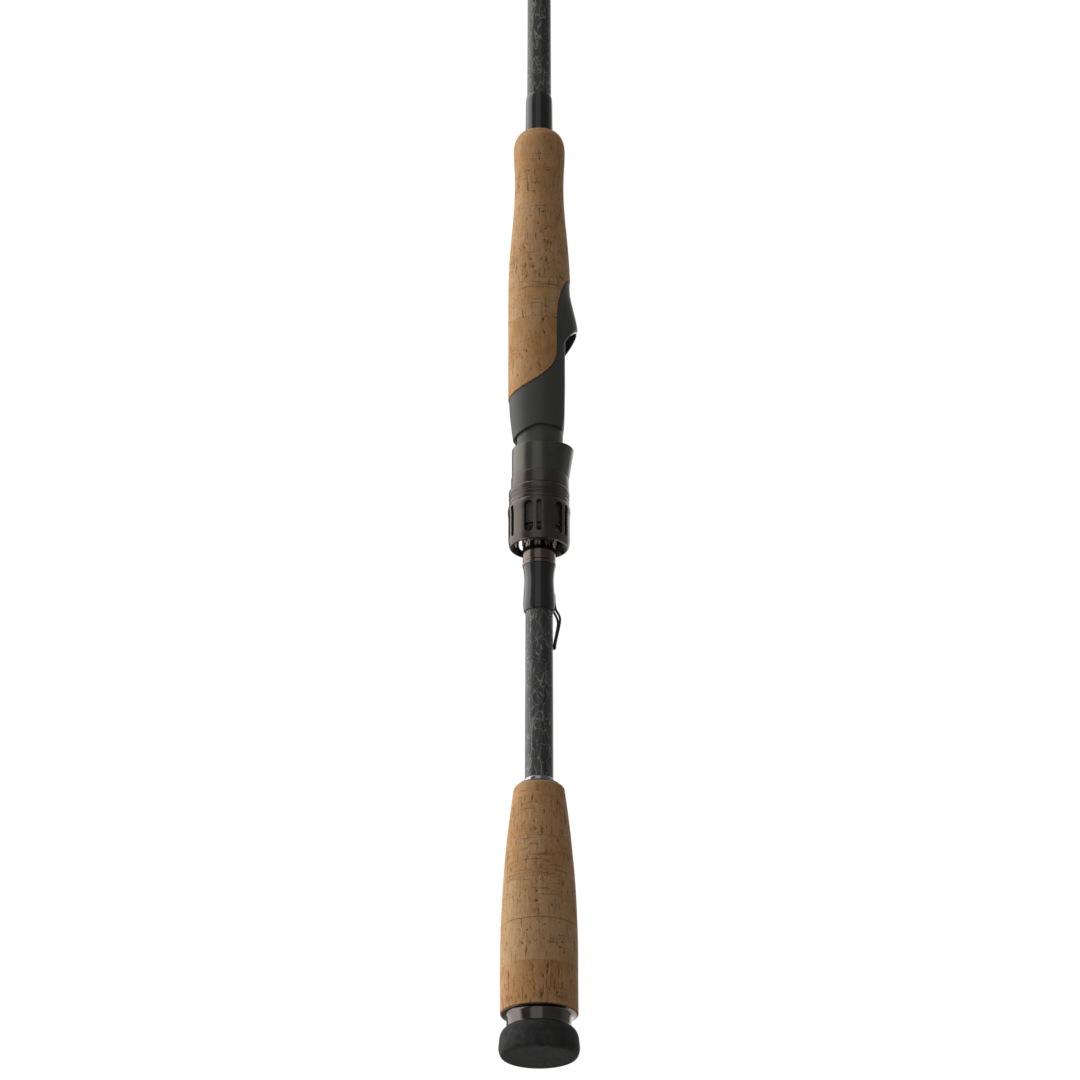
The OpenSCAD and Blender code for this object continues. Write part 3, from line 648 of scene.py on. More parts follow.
# Marks that are large enough to cut: (turn from the front in degrees, height, half width,
# half height, depth), turn positive towards the reel side
CUT_MARKS = {
    "butt_cork_1": [(-9, 33.5, 0.5, 3.0, 0.25), (-6, 25.0, 0.35, 4.5, 0.25), (2, 22.5, 0.35, 3.5, 0.22),
        (5, 30.0, 0.7, 1.2, 0.4), (11, 33.0, 0.3, 4.0, 0.3), (20, 29.5, 0.3, 4.5, 0.3),
        (26, 23.0, 0.3, 4.0, 0.2), (-14, 29.0, 0.25, 5.0, 0.18), (14, 24.0, 0.3, 3.0, 0.2)],
    "butt_cork_2": [(-26, 44.5, 0.9, 1.3, 0.35), (-12, 51.0, 0.3, 2.2, 0.25), (-13, 44.5, 0.35, 1.6, 0.25),
        (33, 48.0, 1.4, 0.5, 0.2), (36, 45.5, 1.5, 0.45, 0.2), (34, 43.0, 1.6, 0.5, 0.22),
        (39, 41.0, 1.2, 0.5, 0.2), (-30, 50.0, 0.3, 1.8, 0.2)],
    "butt_cork_3": [(-3, 67.0, 0.8, 0.9, 0.45), (-4.5, 62.5, 1.5, 0.8, 0.35), (-1, 58.5, 0.5, 0.7, 0.35),
        (-6, 58.0, 0.5, 0.7, 0.35), (-2.5, 71.5, 0.3, 2.4, 0.28), (-30, 66.0, 0.45, 1.6, 0.3),
        (-20, 62.0, 0.3, 2.8, 0.2), (0, 57.0, 2.2, 0.35, 0.15)],
    "butt_cork_4": [(-2, 88.0, 0.3, 2.4, 0.25), (-4, 80.5, 0.3, 3.2, 0.3), (12, 84.5, 0.25, 2.6, 0.22),
        (-18, 82.0, 0.5, 0.8, 0.3), (3, 77.5, 0.9, 0.4, 0.3)],
    "butt_cork_5": [(-4.5, 107.5, 0.6, 0.8, 0.4), (-7, 103.5, 0.4, 1.6, 0.3), (10, 103.0, 0.35, 1.8, 0.28),
        (-8, 98.5, 0.35, 0.9, 0.4), (-6, 95.0, 0.8, 0.7, 0.45), (-21, 102.0, 0.25, 2.0, 0.2)],
    "butt_cork_6": [(-2, 113.0, 2.4, 0.2, 0.1)],
    "fore_cork_1": [(2, 306.0, 0.3, 2.5, 0.25), (4, 303.5, 0.6, 0.8, 0.3), (-14, 304.0, 0.7, 0.5, 0.25)],
    "fore_cork_2": [(3, 318.5, 0.22, 4.0, 0.22), (10, 321.5, 0.8, 1.0, 0.3), (-24, 313.0, 0.5, 0.8, 0.3),
        (8, 327.5, 0.7, 0.8, 0.35)],
    "fore_cork_3": [(-14, 336.5, 2.6, 0.25, 0.18), (-6, 334.0, 3.0, 0.25, 0.2), (16, 333.5, 1.8, 0.3, 0.2),
        (-33, 345.0, 0.6, 0.8, 0.3)],
    "fore_cork_4": [(-15, 356.5, 0.8, 1.0, 0.4), (-11, 353.0, 0.9, 1.2, 0.45), (-26, 354.0, 0.5, 1.1, 0.35),
        (-24, 349.5, 0.4, 1.8, 0.28), (-8, 350.0, 0.5, 1.0, 0.3), (18, 352.0, 0.5, 1.6, 0.25),
        (-30, 362.5, 0.6, 1.2, 0.3), (22, 361.0, 0.4, 1.4, 0.25)],
    "fore_cork_5": [(0, 380.5, 1.0, 0.5, 0.4), (8, 380.0, 0.9, 0.5, 0.4), (-18, 378.0, 1.0, 0.4, 0.3),
        (-1, 374.0, 1.0, 0.6, 0.35), (14, 371.5, 0.8, 0.7, 0.35), (-26, 377.0, 0.6, 0.6, 0.25)],
    "fore_cork_6": [(-10, 389.0, 0.25, 2.4, 0.28), (-26, 394.0, 0.25, 1.6, 0.22), (-24, 400.5, 0.6, 0.5, 0.3)],
    "fore_cork_7": [(3, 408.5, 0.55, 0.8, 0.45), (-6, 404.5, 0.35, 0.6, 0.35), (-12, 406.0, 0.22, 1.6, 0.25)],
}

# How each ring differs: tone, growth lines, cracks, pits
CORK_LOOK = {
    "butt_cork_1": (0.95, 0.1, 1.0, 0.4), "butt_cork_2": (0.1, 0.1, 0.35, 0.3),
    "butt_cork_3": (0.0, 0.4, 0.3, 0.5), "butt_cork_4": (0.4, 1.0, 0.4, 0.5),
    "butt_cork_5": (0.7, 0.2, 0.6, 0.7), "butt_cork_6": (0.8, 1.0, 0.1, 0.1),
    "fore_cork_1": (0.75, 0.1, 0.2, 0.3), "fore_cork_2": (0.9, 0.1, 0.25, 0.35),
    "fore_cork_3": (0.3, 1.0, 0.2, 0.35), "fore_cork_4": (0.2, 0.4, 0.5, 1.0),
    "fore_cork_5": (0.35, 0.5, 0.4, 0.7), "fore_cork_6": (0.6, 0.6, 0.5, 0.3),
    "fore_cork_7": (0.8, 0.4, 0.1, 0.15),
}
# How strongly the painted seam shade, a dark band at a ring's lower end, shows
PAINTED_SEAM_SHADE = {"butt_cork_3": 1.0, "fore_cork_3": 0.7}
FRONT = -math.pi / 2


def random_marks(name, z0, z1):
    """More marks for a ring, away from the front, drawn with the ring's own seed."""
    rng = random.Random(name)
    out = []
    for _ in range(26):
        turn = rng.uniform(50, 310)
        tall = rng.random() < 0.5
        limits = [(z0 + 1, z1 - 1), (0.25, 0.4) if tall else (0.35, 0.8),
                  (1.2, 4.0) if tall else (0.3, 1.0), (0.15, 0.38)]
        out.append((turn, *(rng.uniform(a, b) for a, b in limits)))
    return out


def mark_field(marks, angle, z, radius):
    """How deep and how strongly the marks cut each point."""
    deep = np.zeros(np.shape(z))
    strong = np.zeros(np.shape(z))
    for turn, at, wide, tall, depth in marks:
        du = np.remainder(angle - FRONT - math.radians(turn) + math.pi, 2 * math.pi) - math.pi
        du = du * radius + 0.22 * np.sin(z * 2.1 + at) * (tall > 1)
        g = np.exp(-((np.abs(du) / wide) ** 2.4) - (np.abs(z - at) / tall) ** 2.4)
        deep = np.maximum(deep, depth * g)
        strong = np.maximum(strong, g)
    return deep, strong


def cork_ring(name, z0, z1, outline, bore, loops=None, turn=0.0):
    """One cork ring of a grip, with its pits and cracks cut into it."""
    look = CORK_LOOK[name]
    material = cork(f"{name}_cork", name, *look)
    marks = CUT_MARKS[name] + random_marks(name, z0, z1)
    middle = float(outline((z0 + z1) / 2))

    def outer(angle, z):
        wave = 0.03 * np.sin(3 * angle + z * 0.11) + 0.02 * np.sin(7 * angle - z * 0.23)
        return outline(z) + wave - mark_field(marks, angle, z, middle)[0]

    if loops is None:
        half = math.pi * middle
        loops = [[(-half, z0), (half, z0), (half, z1), (-half, z1)]]
    piece = wrap(
        f"{name}_ring", loops, outer, lambda a, z: bore(z) + GLUE, "rod", material, [name],
        radius=middle, step=0.5, rim=0.13, turn=turn, sharp=60)
    co = np.array([v.co for v in piece.data.vertices]) / MM
    at = np.arctan2(co[:, 1], co[:, 0])
    strong = mark_field(marks, at, co[:, 2], middle)[1]
    # Painted seam shade: a dark band along the ring's lower end, written into the flaw attribute with the
    # marks
    line = np.exp(-((co[:, 2] - z0) / 0.3) ** 2) * PAINTED_SEAM_SHADE.get(name, 0.4)
    strong = np.maximum(strong, line)
    layer = piece.data.attributes.new("flaw", "FLOAT", "POINT")
    layer.data.foreach_set("value", strong.astype(np.float32))


def butt_corks():
    for i in range(1, 7):
        name = f"butt_cork_{i}"
        cork_ring(name, low(name), high(name), butt_grip_r, blank_r)


# Where the cork meets the seat, seen from the side: it sweeps up from the back, runs straight
# beside the saddle, and turns out over the fixed hood
BACK_Z, SIDE_X, TOP_Z = 294.6, 7.65, 352.2
SEAM = (
    bend((-14, BACK_Z), (SIDE_X, BACK_Z + 6.4), (SIDE_X, BACK_Z + 19.4), 60)
    + [(SIDE_X, float(z)) for z in np.linspace(BACK_Z + 19.4, TOP_Z - 26, 14)[1:-1]]
    + bend((SIDE_X, TOP_Z - 26), (SIDE_X, TOP_Z - 9), (14, TOP_Z), 60))
SEAM_X, SEAM_Z = np.array(SEAM).T
SEAM_GAP = 0.13


def seam_line(surface, radius, gap):
    """The seam from the back to the front as the way round from the back and the height, moved
    off the seat by a gap."""
    way = radius * (math.pi - np.arccos(np.clip(SEAM_X / surface(SEAM_Z), -1, 1)))
    first = np.flatnonzero(way <= 1e-9)[-1]
    last = np.flatnonzero(way >= math.pi * radius - 1e-9)[0]
    way, z = way[first:last + 1], SEAM_Z[first:last + 1]
    dw, dz = np.gradient(way), np.gradient(z)
    length = np.hypot(dw, dz)
    moved = np.clip(way - gap * dz / length, 0, math.pi * radius)
    moved[0], moved[-1] = 0, math.pi * radius
    return moved, z + gap * dw / length


def beyond_seam(z0, z1, radius):
    """The part of a cork ring's unrolled band that lies on the cork's side of the seam."""
    half = math.pi * radius
    way, z = seam_line(fore_grip_r, radius, SEAM_GAP)
    if z[-1] <= z0:
        return [(-half, z0), (half, z0), (half, z1), (-half, z1)]
    inside = (z > z0) & (z < z1)
    right = list(zip(way[inside].tolist(), z[inside].tolist()))
    if z[0] < z0:
        right.insert(0, (float(np.interp(z0, z, way)), z0))
    if z[-1] > z1:
        right.append((float(np.interp(z1, z, way)), z1))
        over = []
    else:
        over = [(half, z1), (-half, z1)]
    left = [(-a, b) for a, b in reversed(right)]
    return right + over + (left[:-1] if right[0][0] == 0 else left)


SPIGOT_R = 9.34


def fore_bore(z):
    """Inside radius of the fore grip: the seat's spigot, then the blank."""
    return np.where(z < SPIGOT_TOP + 0.2, SPIGOT_R, blank_r(z))


def fore_corks():
    for i in range(1, 8):
        name = f"fore_cork_{i}"
        z0, z1 = low(name), high(name)
        if i == 1:
            z0 = 285.0
        radius = float(fore_grip_r((z0 + z1) / 2))
        cork_ring(name, z0, z1, fore_grip_r, fore_bore, [beyond_seam(z0, z1, radius)], math.pi)


# ---------------------------------------------------------------- blank and windings


def on_blank(outline):
    """Closes an outline with a bore that follows the blank."""
    z0, z1 = outline[0][1], outline[-1][1]
    return outline + [(float(blank_r(z1)) + GLUE, z1), (float(blank_r(z0)) + GLUE, z0)]


def blank_tube():
    z0, z1 = low("blank"), high("blank")
    walls = {z0: 1.3, KNEE_Z: 0.9, z1: 0.5}
    heights = [z0 + (z1 - z0) * i / 110 for i in range(111)]
    outer = [(float(blank_r(z)), z) for z in heights]
    outer[-1] = (outer[-1][0] - 0.1, z1)
    outer.insert(-1, (float(blank_r(z1)), z1 - 0.12))
    wall = np.interp(heights, list(walls), list(walls.values()))
    inner = [(float(blank_r(z) - w), z) for z, w in zip(heights, wall)][::-1]
    lathe("blank_tube", outer + inner, "rod", BLANK, ["blank"], 96)


def check_pieces():
    z = low("check_disc")
    top = high("check_disc")
    disc = [(9.0, z)] + smooth(
        [(9.1, z + 0.15), (9.12, z + 0.45), (8.8, z + 0.85), (7.8, z + 1.2), (6.6, top)], 4)
    lathe("check_plate", on_blank(disc), "rod", DISC, ["check_disc"], 128)
    z = low("check_ring")
    top = high("check_ring")
    band = smooth([(6.25, z), (6.42, z + 0.25), (6.5, z + 0.9), (6.42, z + 1.5), (6.2, top)], 4)
    lathe("check_band", on_blank(band), "rod", SILVER, ["check_ring"], 128)


def windings():
    z = low("rear_winding")
    outline = smooth(
        [(6.17, z), (6.42, z + 0.35), (6.6, z + 1.2), (6.76, z + 3.4), (6.71, z + 5.5), (6.52, z + 9.2),
         (6.33, z + 12.5), (6.27, z + 14.8), (6.42, z + 17.2), (6.72, z + 19.4),
         (6.86, high("rear_winding"))], 6)
    lathe("rear_thread", on_blank(outline), "rod", WINDING, ["rear_winding"], 128)
    z = low("front_winding")
    outline = smooth(
        [(6.02, z), (5.94, z + 2.2), (5.85, z + 8), (5.82, z + 13), (5.76, z + 15.6), (5.66, z + 16.9),
         (5.45, z + 17.9), (5.22, high("front_winding"))], 5)
    lathe("front_thread", on_blank(outline), "rod", WINDING, ["front_winding"], 128)


def keeper():
    side = smooth(
        [(6.35, 0, 205.0), (6.5, 0, 201.6), (6.95, 0, 198.4), (7.9, 0, 196.6), (8.62, 0, 194.9),
         (8.78, 0, 193.2),
         (8.45, 0, 190.8), (7.95, 0, 188.2), (7.3, 0, 185.2), (6.85, 0, 182.6)], 5)
    lean, spread = math.radians(13), math.radians(13)
    path = []
    for s in (-1, 1):
        leg = [(x * math.cos(lean + s * spread), x * math.sin(lean + s * spread), z) for x, _, z in side]
        path += leg if s < 0 else [None] + leg[::-1]
    gap = path.index(None)
    a, b = Vector(path[gap - 1]), Vector(path[gap + 1])
    x = 6.72
    bend = []
    for k in range(1, 12):
        t = math.pi * k / 12
        turn = lean - spread * math.cos(t)
        bend.append((x * math.cos(turn), x * math.sin(turn), a.z - 1.55 * math.sin(t)))
    path = path[:gap] + bend + path[gap + 1:]
    tube_along("keeper_wire", [path], 0.5, "rod", WIRE, ["hook_keeper"], 20)


# ---------------------------------------------------------------- reel seat


def trim_ring():
    z = low("seat_trim_ring")
    top = high("seat_trim_ring")
    bead = smooth(
        [(6.86, z + 0.05), (7.05, z + 0.25), (7.13, z + 0.85), (7.05, z + 1.45), (6.78, z + 1.75)], 4)
    body = [(6.7, z + 1.95), (6.72, z + 2.15), (6.9, z + 2.35), (6.97, z + 2.6), (6.97, top - 0.2),
            (6.85, top)]
    lathe("trim_band", on_blank(bead + body), "rod", TRIM, ["seat_trim_ring"], 160)


BARREL_R = 10.15
BARREL_Z = 232.6
KEY_TURN = math.radians(196)


def barrel():
    """The threaded barrel with its keyway, and the fluted hub under it."""
    rings = []
    for i in range(12):
        z = BARREL_Z + 1.2 + 2 * i
        rings += [(BARREL_R, z - 0.12), (BARREL_R - 0.08, z), (BARREL_R - 0.6, z + 0.42),
                  (BARREL_R - 0.6, z + 0.85),
                  (BARREL_R - 0.08, z + 1.22), (BARREL_R, z + 1.34)]
    outer = [(BARREL_R - 0.5, BARREL_Z), (BARREL_R - 0.12, BARREL_Z + 0.3), (BARREL_R, BARREL_Z + 0.6)] + rings
    outer += [(BARREL_R, z) for z in np.linspace(262, 280, 10)]
    outer += [(9.3, 280.02), (9.3, SPIGOT_TOP), (6.6, SPIGOT_TOP), (6.6, BARREL_Z)]
    outer = [(r, z) for i, (r, z) in enumerate(outer) if i == 0 or (r, z) != outer[i - 1]]

    def keyway(a, r, z):
        side = abs(math.remainder(a - KEY_TURN, 2 * math.pi)) * BARREL_R
        return np.where((r > 9.31) & (side < 0.9), 9.25 - r, 0.0)

    lathe("barrel_tube", outer, "rod", BARREL, ["seat_barrel"], 360, relief=keyway)
    z0 = low("seat_barrel")

    def flutes(a, r, z):
        wave = 0.5 + 0.5 * math.cos(12 * (a - math.radians(15)))
        return np.where(r > 7.0, -0.35 * wave**3, 0.0)

    hub = [(7.05, z0), (7.3, z0 + 0.2), (7.3, BARREL_Z + 0.02), (6.62, BARREL_Z + 0.02), (6.62, z0)]
    lathe("barrel_hub", hub, "rod", HUB, (), 360, relief=flutes)


# Seat: where it begins, how far up it swells, and its radii
SEAT_Z, SEAT_SWELL = 275.0, 22.0
SEAT_LOW, SEAT_WAIST, SEAT_HIGH = 11.0, 12.9, 13.15
# Lower rim of the seat, seen from the side: low at the back, a slope, then level
RIM_LOW, RIM_HIGH, RIM_SLOPE, RIM_TURN = 275.4, 279.5, 0.32, -0.8
SEAT_LIP = (
    [(-14.0, RIM_LOW), (RIM_TURN - (RIM_HIGH - RIM_LOW) / RIM_SLOPE, RIM_LOW)]
    + bend((RIM_TURN - 2, RIM_HIGH - 2 * RIM_SLOPE), (RIM_TURN, RIM_HIGH), (RIM_TURN + 2, RIM_HIGH))
    + [(14.0, RIM_HIGH)])
MOUTH_Z = 319.6
MOUTH_RISE = 1.35
SADDLE_X = 11.05
HOOD_REACH = 16.6


def seat_r(z):
    """Radius of the seat at height z: it swells from the lower rim, then is nearly straight."""
    up = (np.asarray(z, float) - SEAT_Z) / SEAT_SWELL
    swell = (SEAT_WAIST - SEAT_LOW) * np.sin(np.pi / 2 * np.clip(up, 0, 1))
    return SEAT_LOW + swell + (SEAT_HIGH - SEAT_WAIST) * np.clip((up - 1) * SEAT_SWELL / 56, 0, 1)


def larger(a, b, soft=0.3):
    """The larger of two values, with a soft change from one to the other."""
    return soft * np.logaddexp(a / soft, b / soft)


def smaller(a, b, soft=0.3):
    return -larger(-a, -b, soft)


def column_r(angle, centre, radius):
    """How far out a round column reaches at an angle. Its axis stands at centre on the X axis."""
    inside = radius**2 - (centre * np.sin(angle)) ** 2
    return np.where(inside > 0, centre * np.cos(angle) + np.sqrt(np.maximum(inside, 0)), 0)


def fixed_centre(z):
    return 7.77 + (329.5 - z) * 0.222


def seat_outer(angle, z):
    c = np.maximum(np.cos(angle), 0.05)
    saddle = np.interp(z, [279, 280, 284, 290, 300], [9.9, 10.15, 10.7, 10.9, SADDLE_X])
    mouth = SADDLE_X + (z - MOUTH_Z) / MOUTH_RISE
    side = smaller(seat_r(z), np.maximum(saddle, mouth) / c, 0.22)
    bump = smaller(column_r(angle, fixed_centre(z), 8.72), HOOD_REACH + 0 * z, 0.30)
    bump = smaller(bump, mouth / c, 0.42)
    return larger(side, bump, 0.22)


def seat_bore(angle, z):
    return np.where(z < 280.06, 10.2, SPIGOT_R)


def pocket_block(z0, z1, radius, floor, half):
    """The room inside the fixed hood as a mesh: a leaning column with a flat floor and flat sides."""
    rows = []
    n = 40
    for z in np.linspace(z0, z1, 24):
        centre = fixed_centre(z)
        wide = min(half, math.sqrt(max(radius**2 - (floor - centre) ** 2, 0.01)) - 0.02)
        ys = [wide * math.sin(math.pi * (k / n - 0.5)) for k in range(n + 1)]
        rows.append([(floor, y, z) for y in reversed(ys)]
                    + [(centre + math.sqrt(radius**2 - y * y), y, z) for y in ys])
    m = len(rows[0])
    verts = [p for row in rows for p in row]
    faces = [(i * m + j, i * m + (j + 1) % m, (i + 1) * m + (j + 1) % m, (i + 1) * m + j)
             for i in range(len(rows) - 1) for j in range(m)]
    faces += [tuple(range(m)), tuple(range((len(rows) - 1) * m, len(rows) * m))]
    obj = bpy.data.objects.new("pocket", clean_mesh("pocket", verts, faces))
    bpy.context.scene.collection.objects.link(obj)
    return obj


def cut(obj, tool):
    """Cuts a mesh with another, which is then deleted."""
    made = obj.modifiers.new("cut", "BOOLEAN")
    made.operation = "DIFFERENCE"
    made.solver = "EXACT"
    made.object = tool
    bpy.context.view_layer.update()
    shape = bpy.data.meshes.new_from_object(obj.evaluated_get(bpy.context.evaluated_depsgraph_get()))
    obj.modifiers.remove(made)
    obj.data = shape
    bpy.data.objects.remove(tool)
    obj.data.shade_smooth()
    obj.data.set_sharp_from_angle(angle=math.radians(38))


def hood_liner_shell():
    """The curved liner of the fixed hood, which ends a little in front of its slanted mouth."""
    n, m, proud = 36, 24, 0.12
    sides = []
    for radius in (7.88, 7.40):
        rows = []
        for i in range(n + 1):
            b = math.radians(-56 + 112 * i / n)
            out = radius * math.cos(b)
            mouth = MOUTH_Z + MOUTH_RISE * (fixed_centre(0) + out - SADDLE_X)
            heights = np.linspace(mouth / (1 + 0.222 * MOUTH_RISE) - proud, 337.4, m + 1)
            rows.append([(fixed_centre(z) + out, radius * math.sin(b), z) for z in heights])
        sides.append(rows)
    verts = [p for rows in sides for row in rows for p in row]
    k = m + 1
    half = (n + 1) * k
    faces = []
    for i in range(n):
        for j in range(m):
            a, b, c, d = i * k + j, (i + 1) * k + j, (i + 1) * k + j + 1, i * k + j + 1
            faces += [(a, b, c, d), (half + d, half + c, half + b, half + a)]
    edge = [i * k for i in range(n + 1)] + [n * k + j for j in range(1, k)]
    edge += [i * k + m for i in range(n - 1, -1, -1)] + [j for j in range(m - 1, 0, -1)]
    faces += [(a, b, half + b, half + a) for a, b in zip(edge, edge[1:] + edge[:1])]
    finish_mesh("hood_insert", verts, faces, "rod", STEEL, ["fixed_hood_liner"])


def seat():
    radius = 13.1
    half = math.pi * radius
    lip_x, lip_z = np.array(SEAT_LIP).T
    bottom = []
    for k in range(121):
        a = -math.pi + 2 * math.pi * k / 120
        z = float(np.interp(11.5 * math.cos(a), lip_x, lip_z))
        bottom.append((radius * a, z))
    way, z = seam_line(seat_r, radius, 0.0)
    top = [(half - a, b) for a, b in zip(way.tolist(), z.tolist())]
    top = top + [(-a, b) for a, b in reversed(top[:-1])]
    shell = wrap(
        "seat_shell", [bottom + top], seat_outer, seat_bore, "rod", SEAT, ["seat_body"], radius, 0.62, 0.28,
        finer=((-13.5, 13.5, 314.0, 350.5), 0.36))
    cut(shell, pocket_block(316.0, 337.5, 7.9, SADDLE_X + 0.08, 6.6))


HOOD_Z = low("moving_hood")
HOOD_TOP = high("moving_hood")


def hood():
    def centre(z):
        return 3.85 + (z - 271.0) * 0.153

    def outer(angle, z):
        full = larger(11.62 + 0 * z, column_r(angle, centre(z), 10.85), 0.18)
        return np.minimum(full, np.interp(z - HOOD_Z, [0, 0.7, 2.0, 20], [12.62, 13.1, 16.0, 16.0]))

    def bore(angle, z):
        wide = np.maximum(10.9, column_r(angle, centre(z), 9.9))
        return np.where(z > 262.0, wide, 10.9)

    half = math.pi * 12
    loop = [(-half, HOOD_Z), (half, HOOD_Z), (half, HOOD_TOP), (-half, HOOD_TOP)]
    wrap("hood_shell", [loop], outer, bore, "hood", HOOD, ["moving_hood"], 12, 0.5, 0.36)
    top = high("hood_base")
    z = top - 5.8
    base = eased(
        [(10.65, z), (12.0, z, 0.1), (12.3, z + 0.3, 0.25), (12.3, top - 0.35, 0.2), (12.02, top, 0.1),
         (10.65, top)], 0)
    lathe("hood_band", base, "hood", NUT, ["hood_base"], 160, 0.35)


def rounded_slot(u, v0, v1, wide):
    """A slot with round ends, as a loop in the unrolled plane."""
    r = wide / 2
    right = [(u + r * math.cos(a), v1 - r + r * math.sin(a)) for a in np.linspace(0, math.pi, 15)]
    left = [(u + r * math.cos(a), v0 + r + r * math.sin(a)) for a in np.linspace(math.pi, 2 * math.pi, 15)]
    return right + left


def nut():
    z, top = low("lock_nut"), high("lock_nut")
    foot, body, rise = 11.9, 13.1, 4.0
    turns_in = [math.radians(a) for a in range(0, 91, 10)]
    side = [(foot + (body - foot) * math.sin(a), z + rise * (1 - math.cos(a))) for a in turns_in]
    side += bend((body, top - 5.5), (body + 0.6, top - 2), (12.8, top))
    side_z = np.array(side)[:, 1]
    side_r = np.array(side)[:, 0]
    radius = 13.1
    half = math.pi * radius
    # six pairs of slots, and the mesh begins midway between two pairs
    turn = math.radians(-130) + math.pi
    slots = []
    for k in range(6):
        for first, wide in ((-110, 3.9), (-90, 2.0)):
            a = (math.radians(first + 60 * k) - turn + math.pi) % (2 * math.pi) - math.pi
            slots.append(rounded_slot(a * radius, 229.2, 243.4, wide))
    loop = [(-half, z), (half, z), (half, top), (-half, top)]
    wrap(
        "nut_shell", [loop] + slots, lambda a, v: np.interp(v, side_z, side_r), lambda a, v: 11.5 + 0 * v,
        "nut", NUT, ["lock_nut"], radius, 0.55, 0.22, turn)
    z, top = low("nut_collar"), high("nut_collar")
    ribs = [
        (12.6, z, 0.1), (12.84, z + 0.3, 0.2), (12.84, 247.0, 0.25), (12.42, 247.3, 0.15),
        (12.42, 247.8, 0.15),
        (12.9, 248.1, 0.25), (12.9, 248.75, 0.25), (12.44, 249.05, 0.15), (12.44, 249.45, 0.15),
        (12.92, 249.8, 0.25), (12.92, 251.8, 0.3), (12.55, top, 0.2), (11.3, top), (11.3, z)]
    lathe("collar_shell", eased(ribs, 0), "nut", NUT, ["nut_collar"], 160)


# ---------------------------------------------------------------- everything


butt_cap()
butt_ring()
butt_corks()
check_pieces()
blank_tube()
windings()
keeper()
trim_ring()
barrel()
hood_liner_shell()
seat()
hood()
nut()
fore_corks()

KEPT = {
    "cap_plug": CORE, "ring_core": CORE, "seat_arbors": CORE, "hood_liner": BARREL, "nut_insert": BARREL,
    "nut_retainer": STEEL, "tip_frame": GUIDE, "tip_ring": CERAMIC, "tip_winding": WINDING,
}
for node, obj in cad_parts.items():
    if obj.hide_render:
        continue
    family = node.rstrip("0123456789").rstrip("_")
    material = KEPT.get(node) or {"guide_frame": GUIDE, "guide_ring": CERAMIC, "guide_wrap": WINDING}[family]
    obj.data.materials.clear()
    obj.data.materials.append(material)


# ---------------------------------------------------------------- studio


def floor():
    """A pale floor, far enough below that the rod's butt can be seen from under it."""
    mesh = bpy.data.meshes.new("floor")
    size, z, n = 60.0, -1.15, 24
    verts = [(size * (2 * i / n - 1), size * (2 * j / n - 1), z) for i in range(n + 1) for j in range(n + 1)]
    faces = [(i * (n + 1) + j, (i + 1) * (n + 1) + j, (i + 1) * (n + 1) + j + 1, i * (n + 1) + j + 1)
             for i in range(n) for j in range(n)]
    mesh.from_pydata(verts, [], faces)
    obj = bpy.data.objects.new("floor", mesh)
    bpy.context.scene.collection.objects.link(obj)
    f = Finish("floor_paper")
    soft = f.noise(f.mapped(), 0.002, 3)
    f.colour(f.mix(soft, (0.80, 0.80, 0.80), (0.86, 0.86, 0.86)))
    f.roughness(f.span(soft, 0.3, 0.7, 0.85, 0.95))
    f.bump(soft, 0.1, 0.5)
    obj.data.materials.append(f.material)
    obj.visible_diffuse = False
    obj.visible_glossy = False


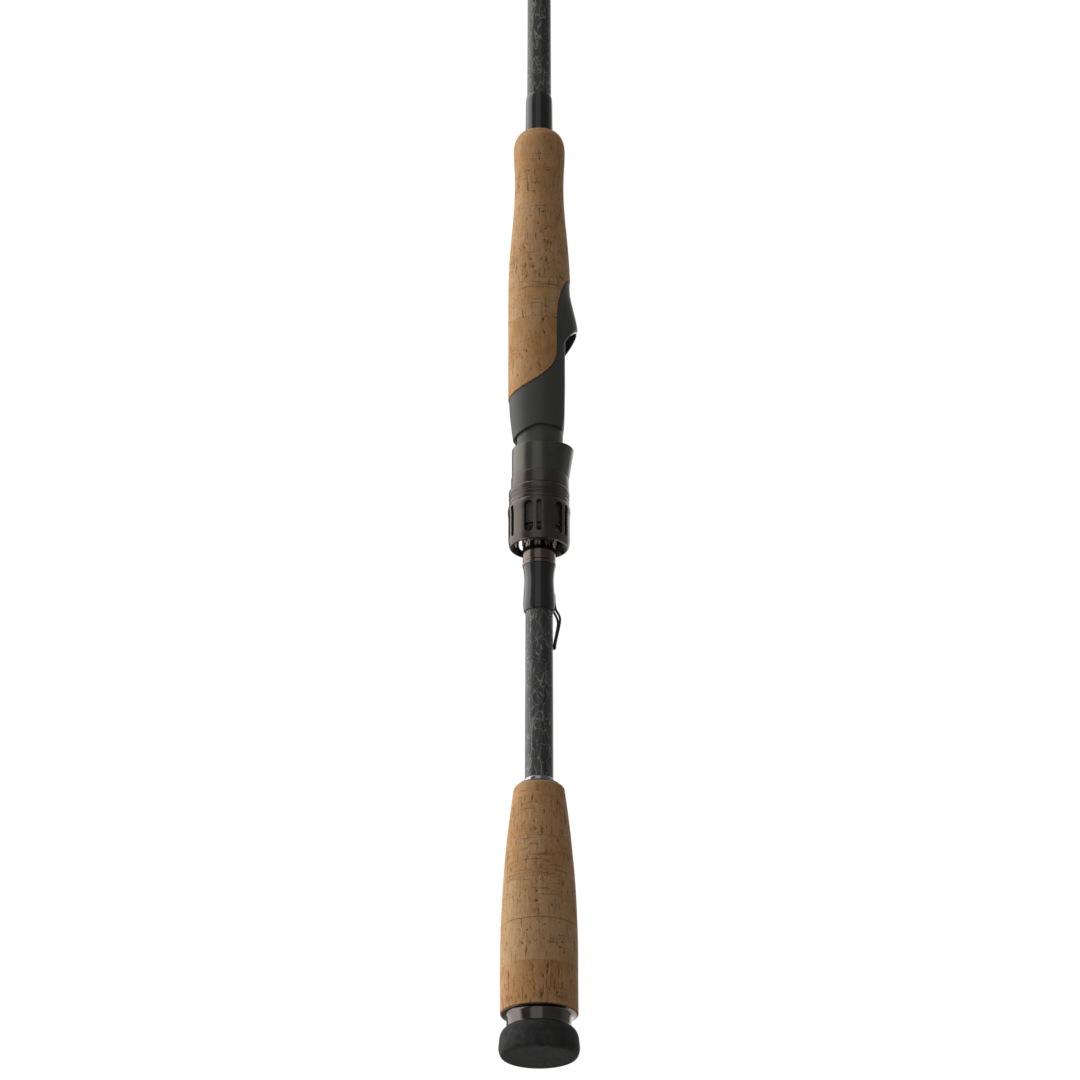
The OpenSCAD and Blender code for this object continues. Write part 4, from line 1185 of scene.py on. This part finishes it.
def studio():
    """White behind the rod; a wide soft light from the left, a weak one in front, a rim from behind
    on the right, and darkness between them."""
    world = bpy.data.worlds.new("studio")
    bpy.context.scene.world = world
    world.use_nodes = True
    tree = world.node_tree
    tree.nodes.clear()

    def node(kind, **settings):
        made = tree.nodes.new(kind)
        for key, value in settings.items():
            setattr(made, key, value)
        return made

    def math_node(how, a, b=0.0):
        made = node("ShaderNodeMath", operation=how)
        for socket, v in zip(made.inputs, (a, b)):
            if isinstance(v, (int, float)):
                socket.default_value = v
            else:
                tree.links.new(v, socket)
        return made.outputs[0]

    def ramp(value, a, b):
        made = node("ShaderNodeMapRange", interpolation_type="SMOOTHSTEP")
        made.inputs["From Min"].default_value = a
        made.inputs["From Max"].default_value = b
        tree.links.new(value, made.inputs["Value"])
        return made.outputs["Result"]

    def panel(a0, a1, soft, power):
        """A light over a range of directions in degrees: 0 is in front, and + is to the reel side."""
        return math_node("MULTIPLY", math_node("MULTIPLY", ramp(turn, a0 - soft, a0 + soft),
                                               ramp(turn, a1 + soft, a1 - soft)), power)

    split = node("ShaderNodeSeparateXYZ")
    tree.links.new(node("ShaderNodeTexCoord").outputs["Generated"], split.inputs[0])
    turn = math_node("ARCTAN2", split.outputs["X"], math_node("MULTIPLY", split.outputs["Y"], -1.0))
    turn = math_node("MULTIPLY", turn, 180 / math.pi)
    light = 0.0
    for row in LIGHTS.values():
        light = math_node("ADD", light, panel(*row))
    light = math_node("MULTIPLY", light, ramp(split.outputs["Z"], -0.98, -0.75))
    path = node("ShaderNodeLightPath")
    light = math_node("ADD", light, AMBIENT)
    light = math_node("ADD", light, math_node("MULTIPLY", path.outputs["Is Glossy Ray"], ROOM_GLOSS))
    back = node("ShaderNodeBackground")
    tree.links.new(light, back.inputs["Strength"])
    back.inputs["Color"].default_value = (1.0, 0.985, 0.96, 1)
    white = node("ShaderNodeBackground")
    white.inputs["Color"].default_value = (1, 1, 1, 1)
    white.inputs["Strength"].default_value = 1.02
    choose = node("ShaderNodeMixShader")
    tree.links.new(path.outputs["Is Camera Ray"], choose.inputs[0])
    tree.links.new(back.outputs[0], choose.inputs[1])
    tree.links.new(white.outputs[0], choose.inputs[2])
    tree.links.new(choose.outputs[0], node("ShaderNodeOutputWorld").inputs[0])


# Each light: where it starts and ends in degrees, how soft its ends are, and its power
LIGHTS = {
    "left": (-141, -67, 8, 2.1), "front": (-31, 11, 5, 0.5), "rim": (134, 176, 8, 1.2),
    "side": (88, 130, 14, 0.2),
}
AMBIENT = 0.04
ROOM_GLOSS = 0.13

floor()
studio()

camera = bpy.data.objects.new("camera", bpy.data.cameras.new("camera"))
bpy.context.scene.collection.objects.link(camera)
camera.data.lens = 200
camera.data.sensor_width = 36
camera.data.clip_end = 200
AIM = Vector((0.34, 0, 230.2)) * MM
DISTANCE = 2542 * MM
UPWARD = math.radians(23.3)
camera.location = AIM + Vector((0, -math.cos(UPWARD), -math.sin(UPWARD))) * DISTANCE
camera.rotation_euler = (AIM - camera.location).to_track_quat("-Z", "Y").to_euler()
bpy.context.scene.camera = camera
bpy.context.scene.view_settings.view_transform = "Standard"
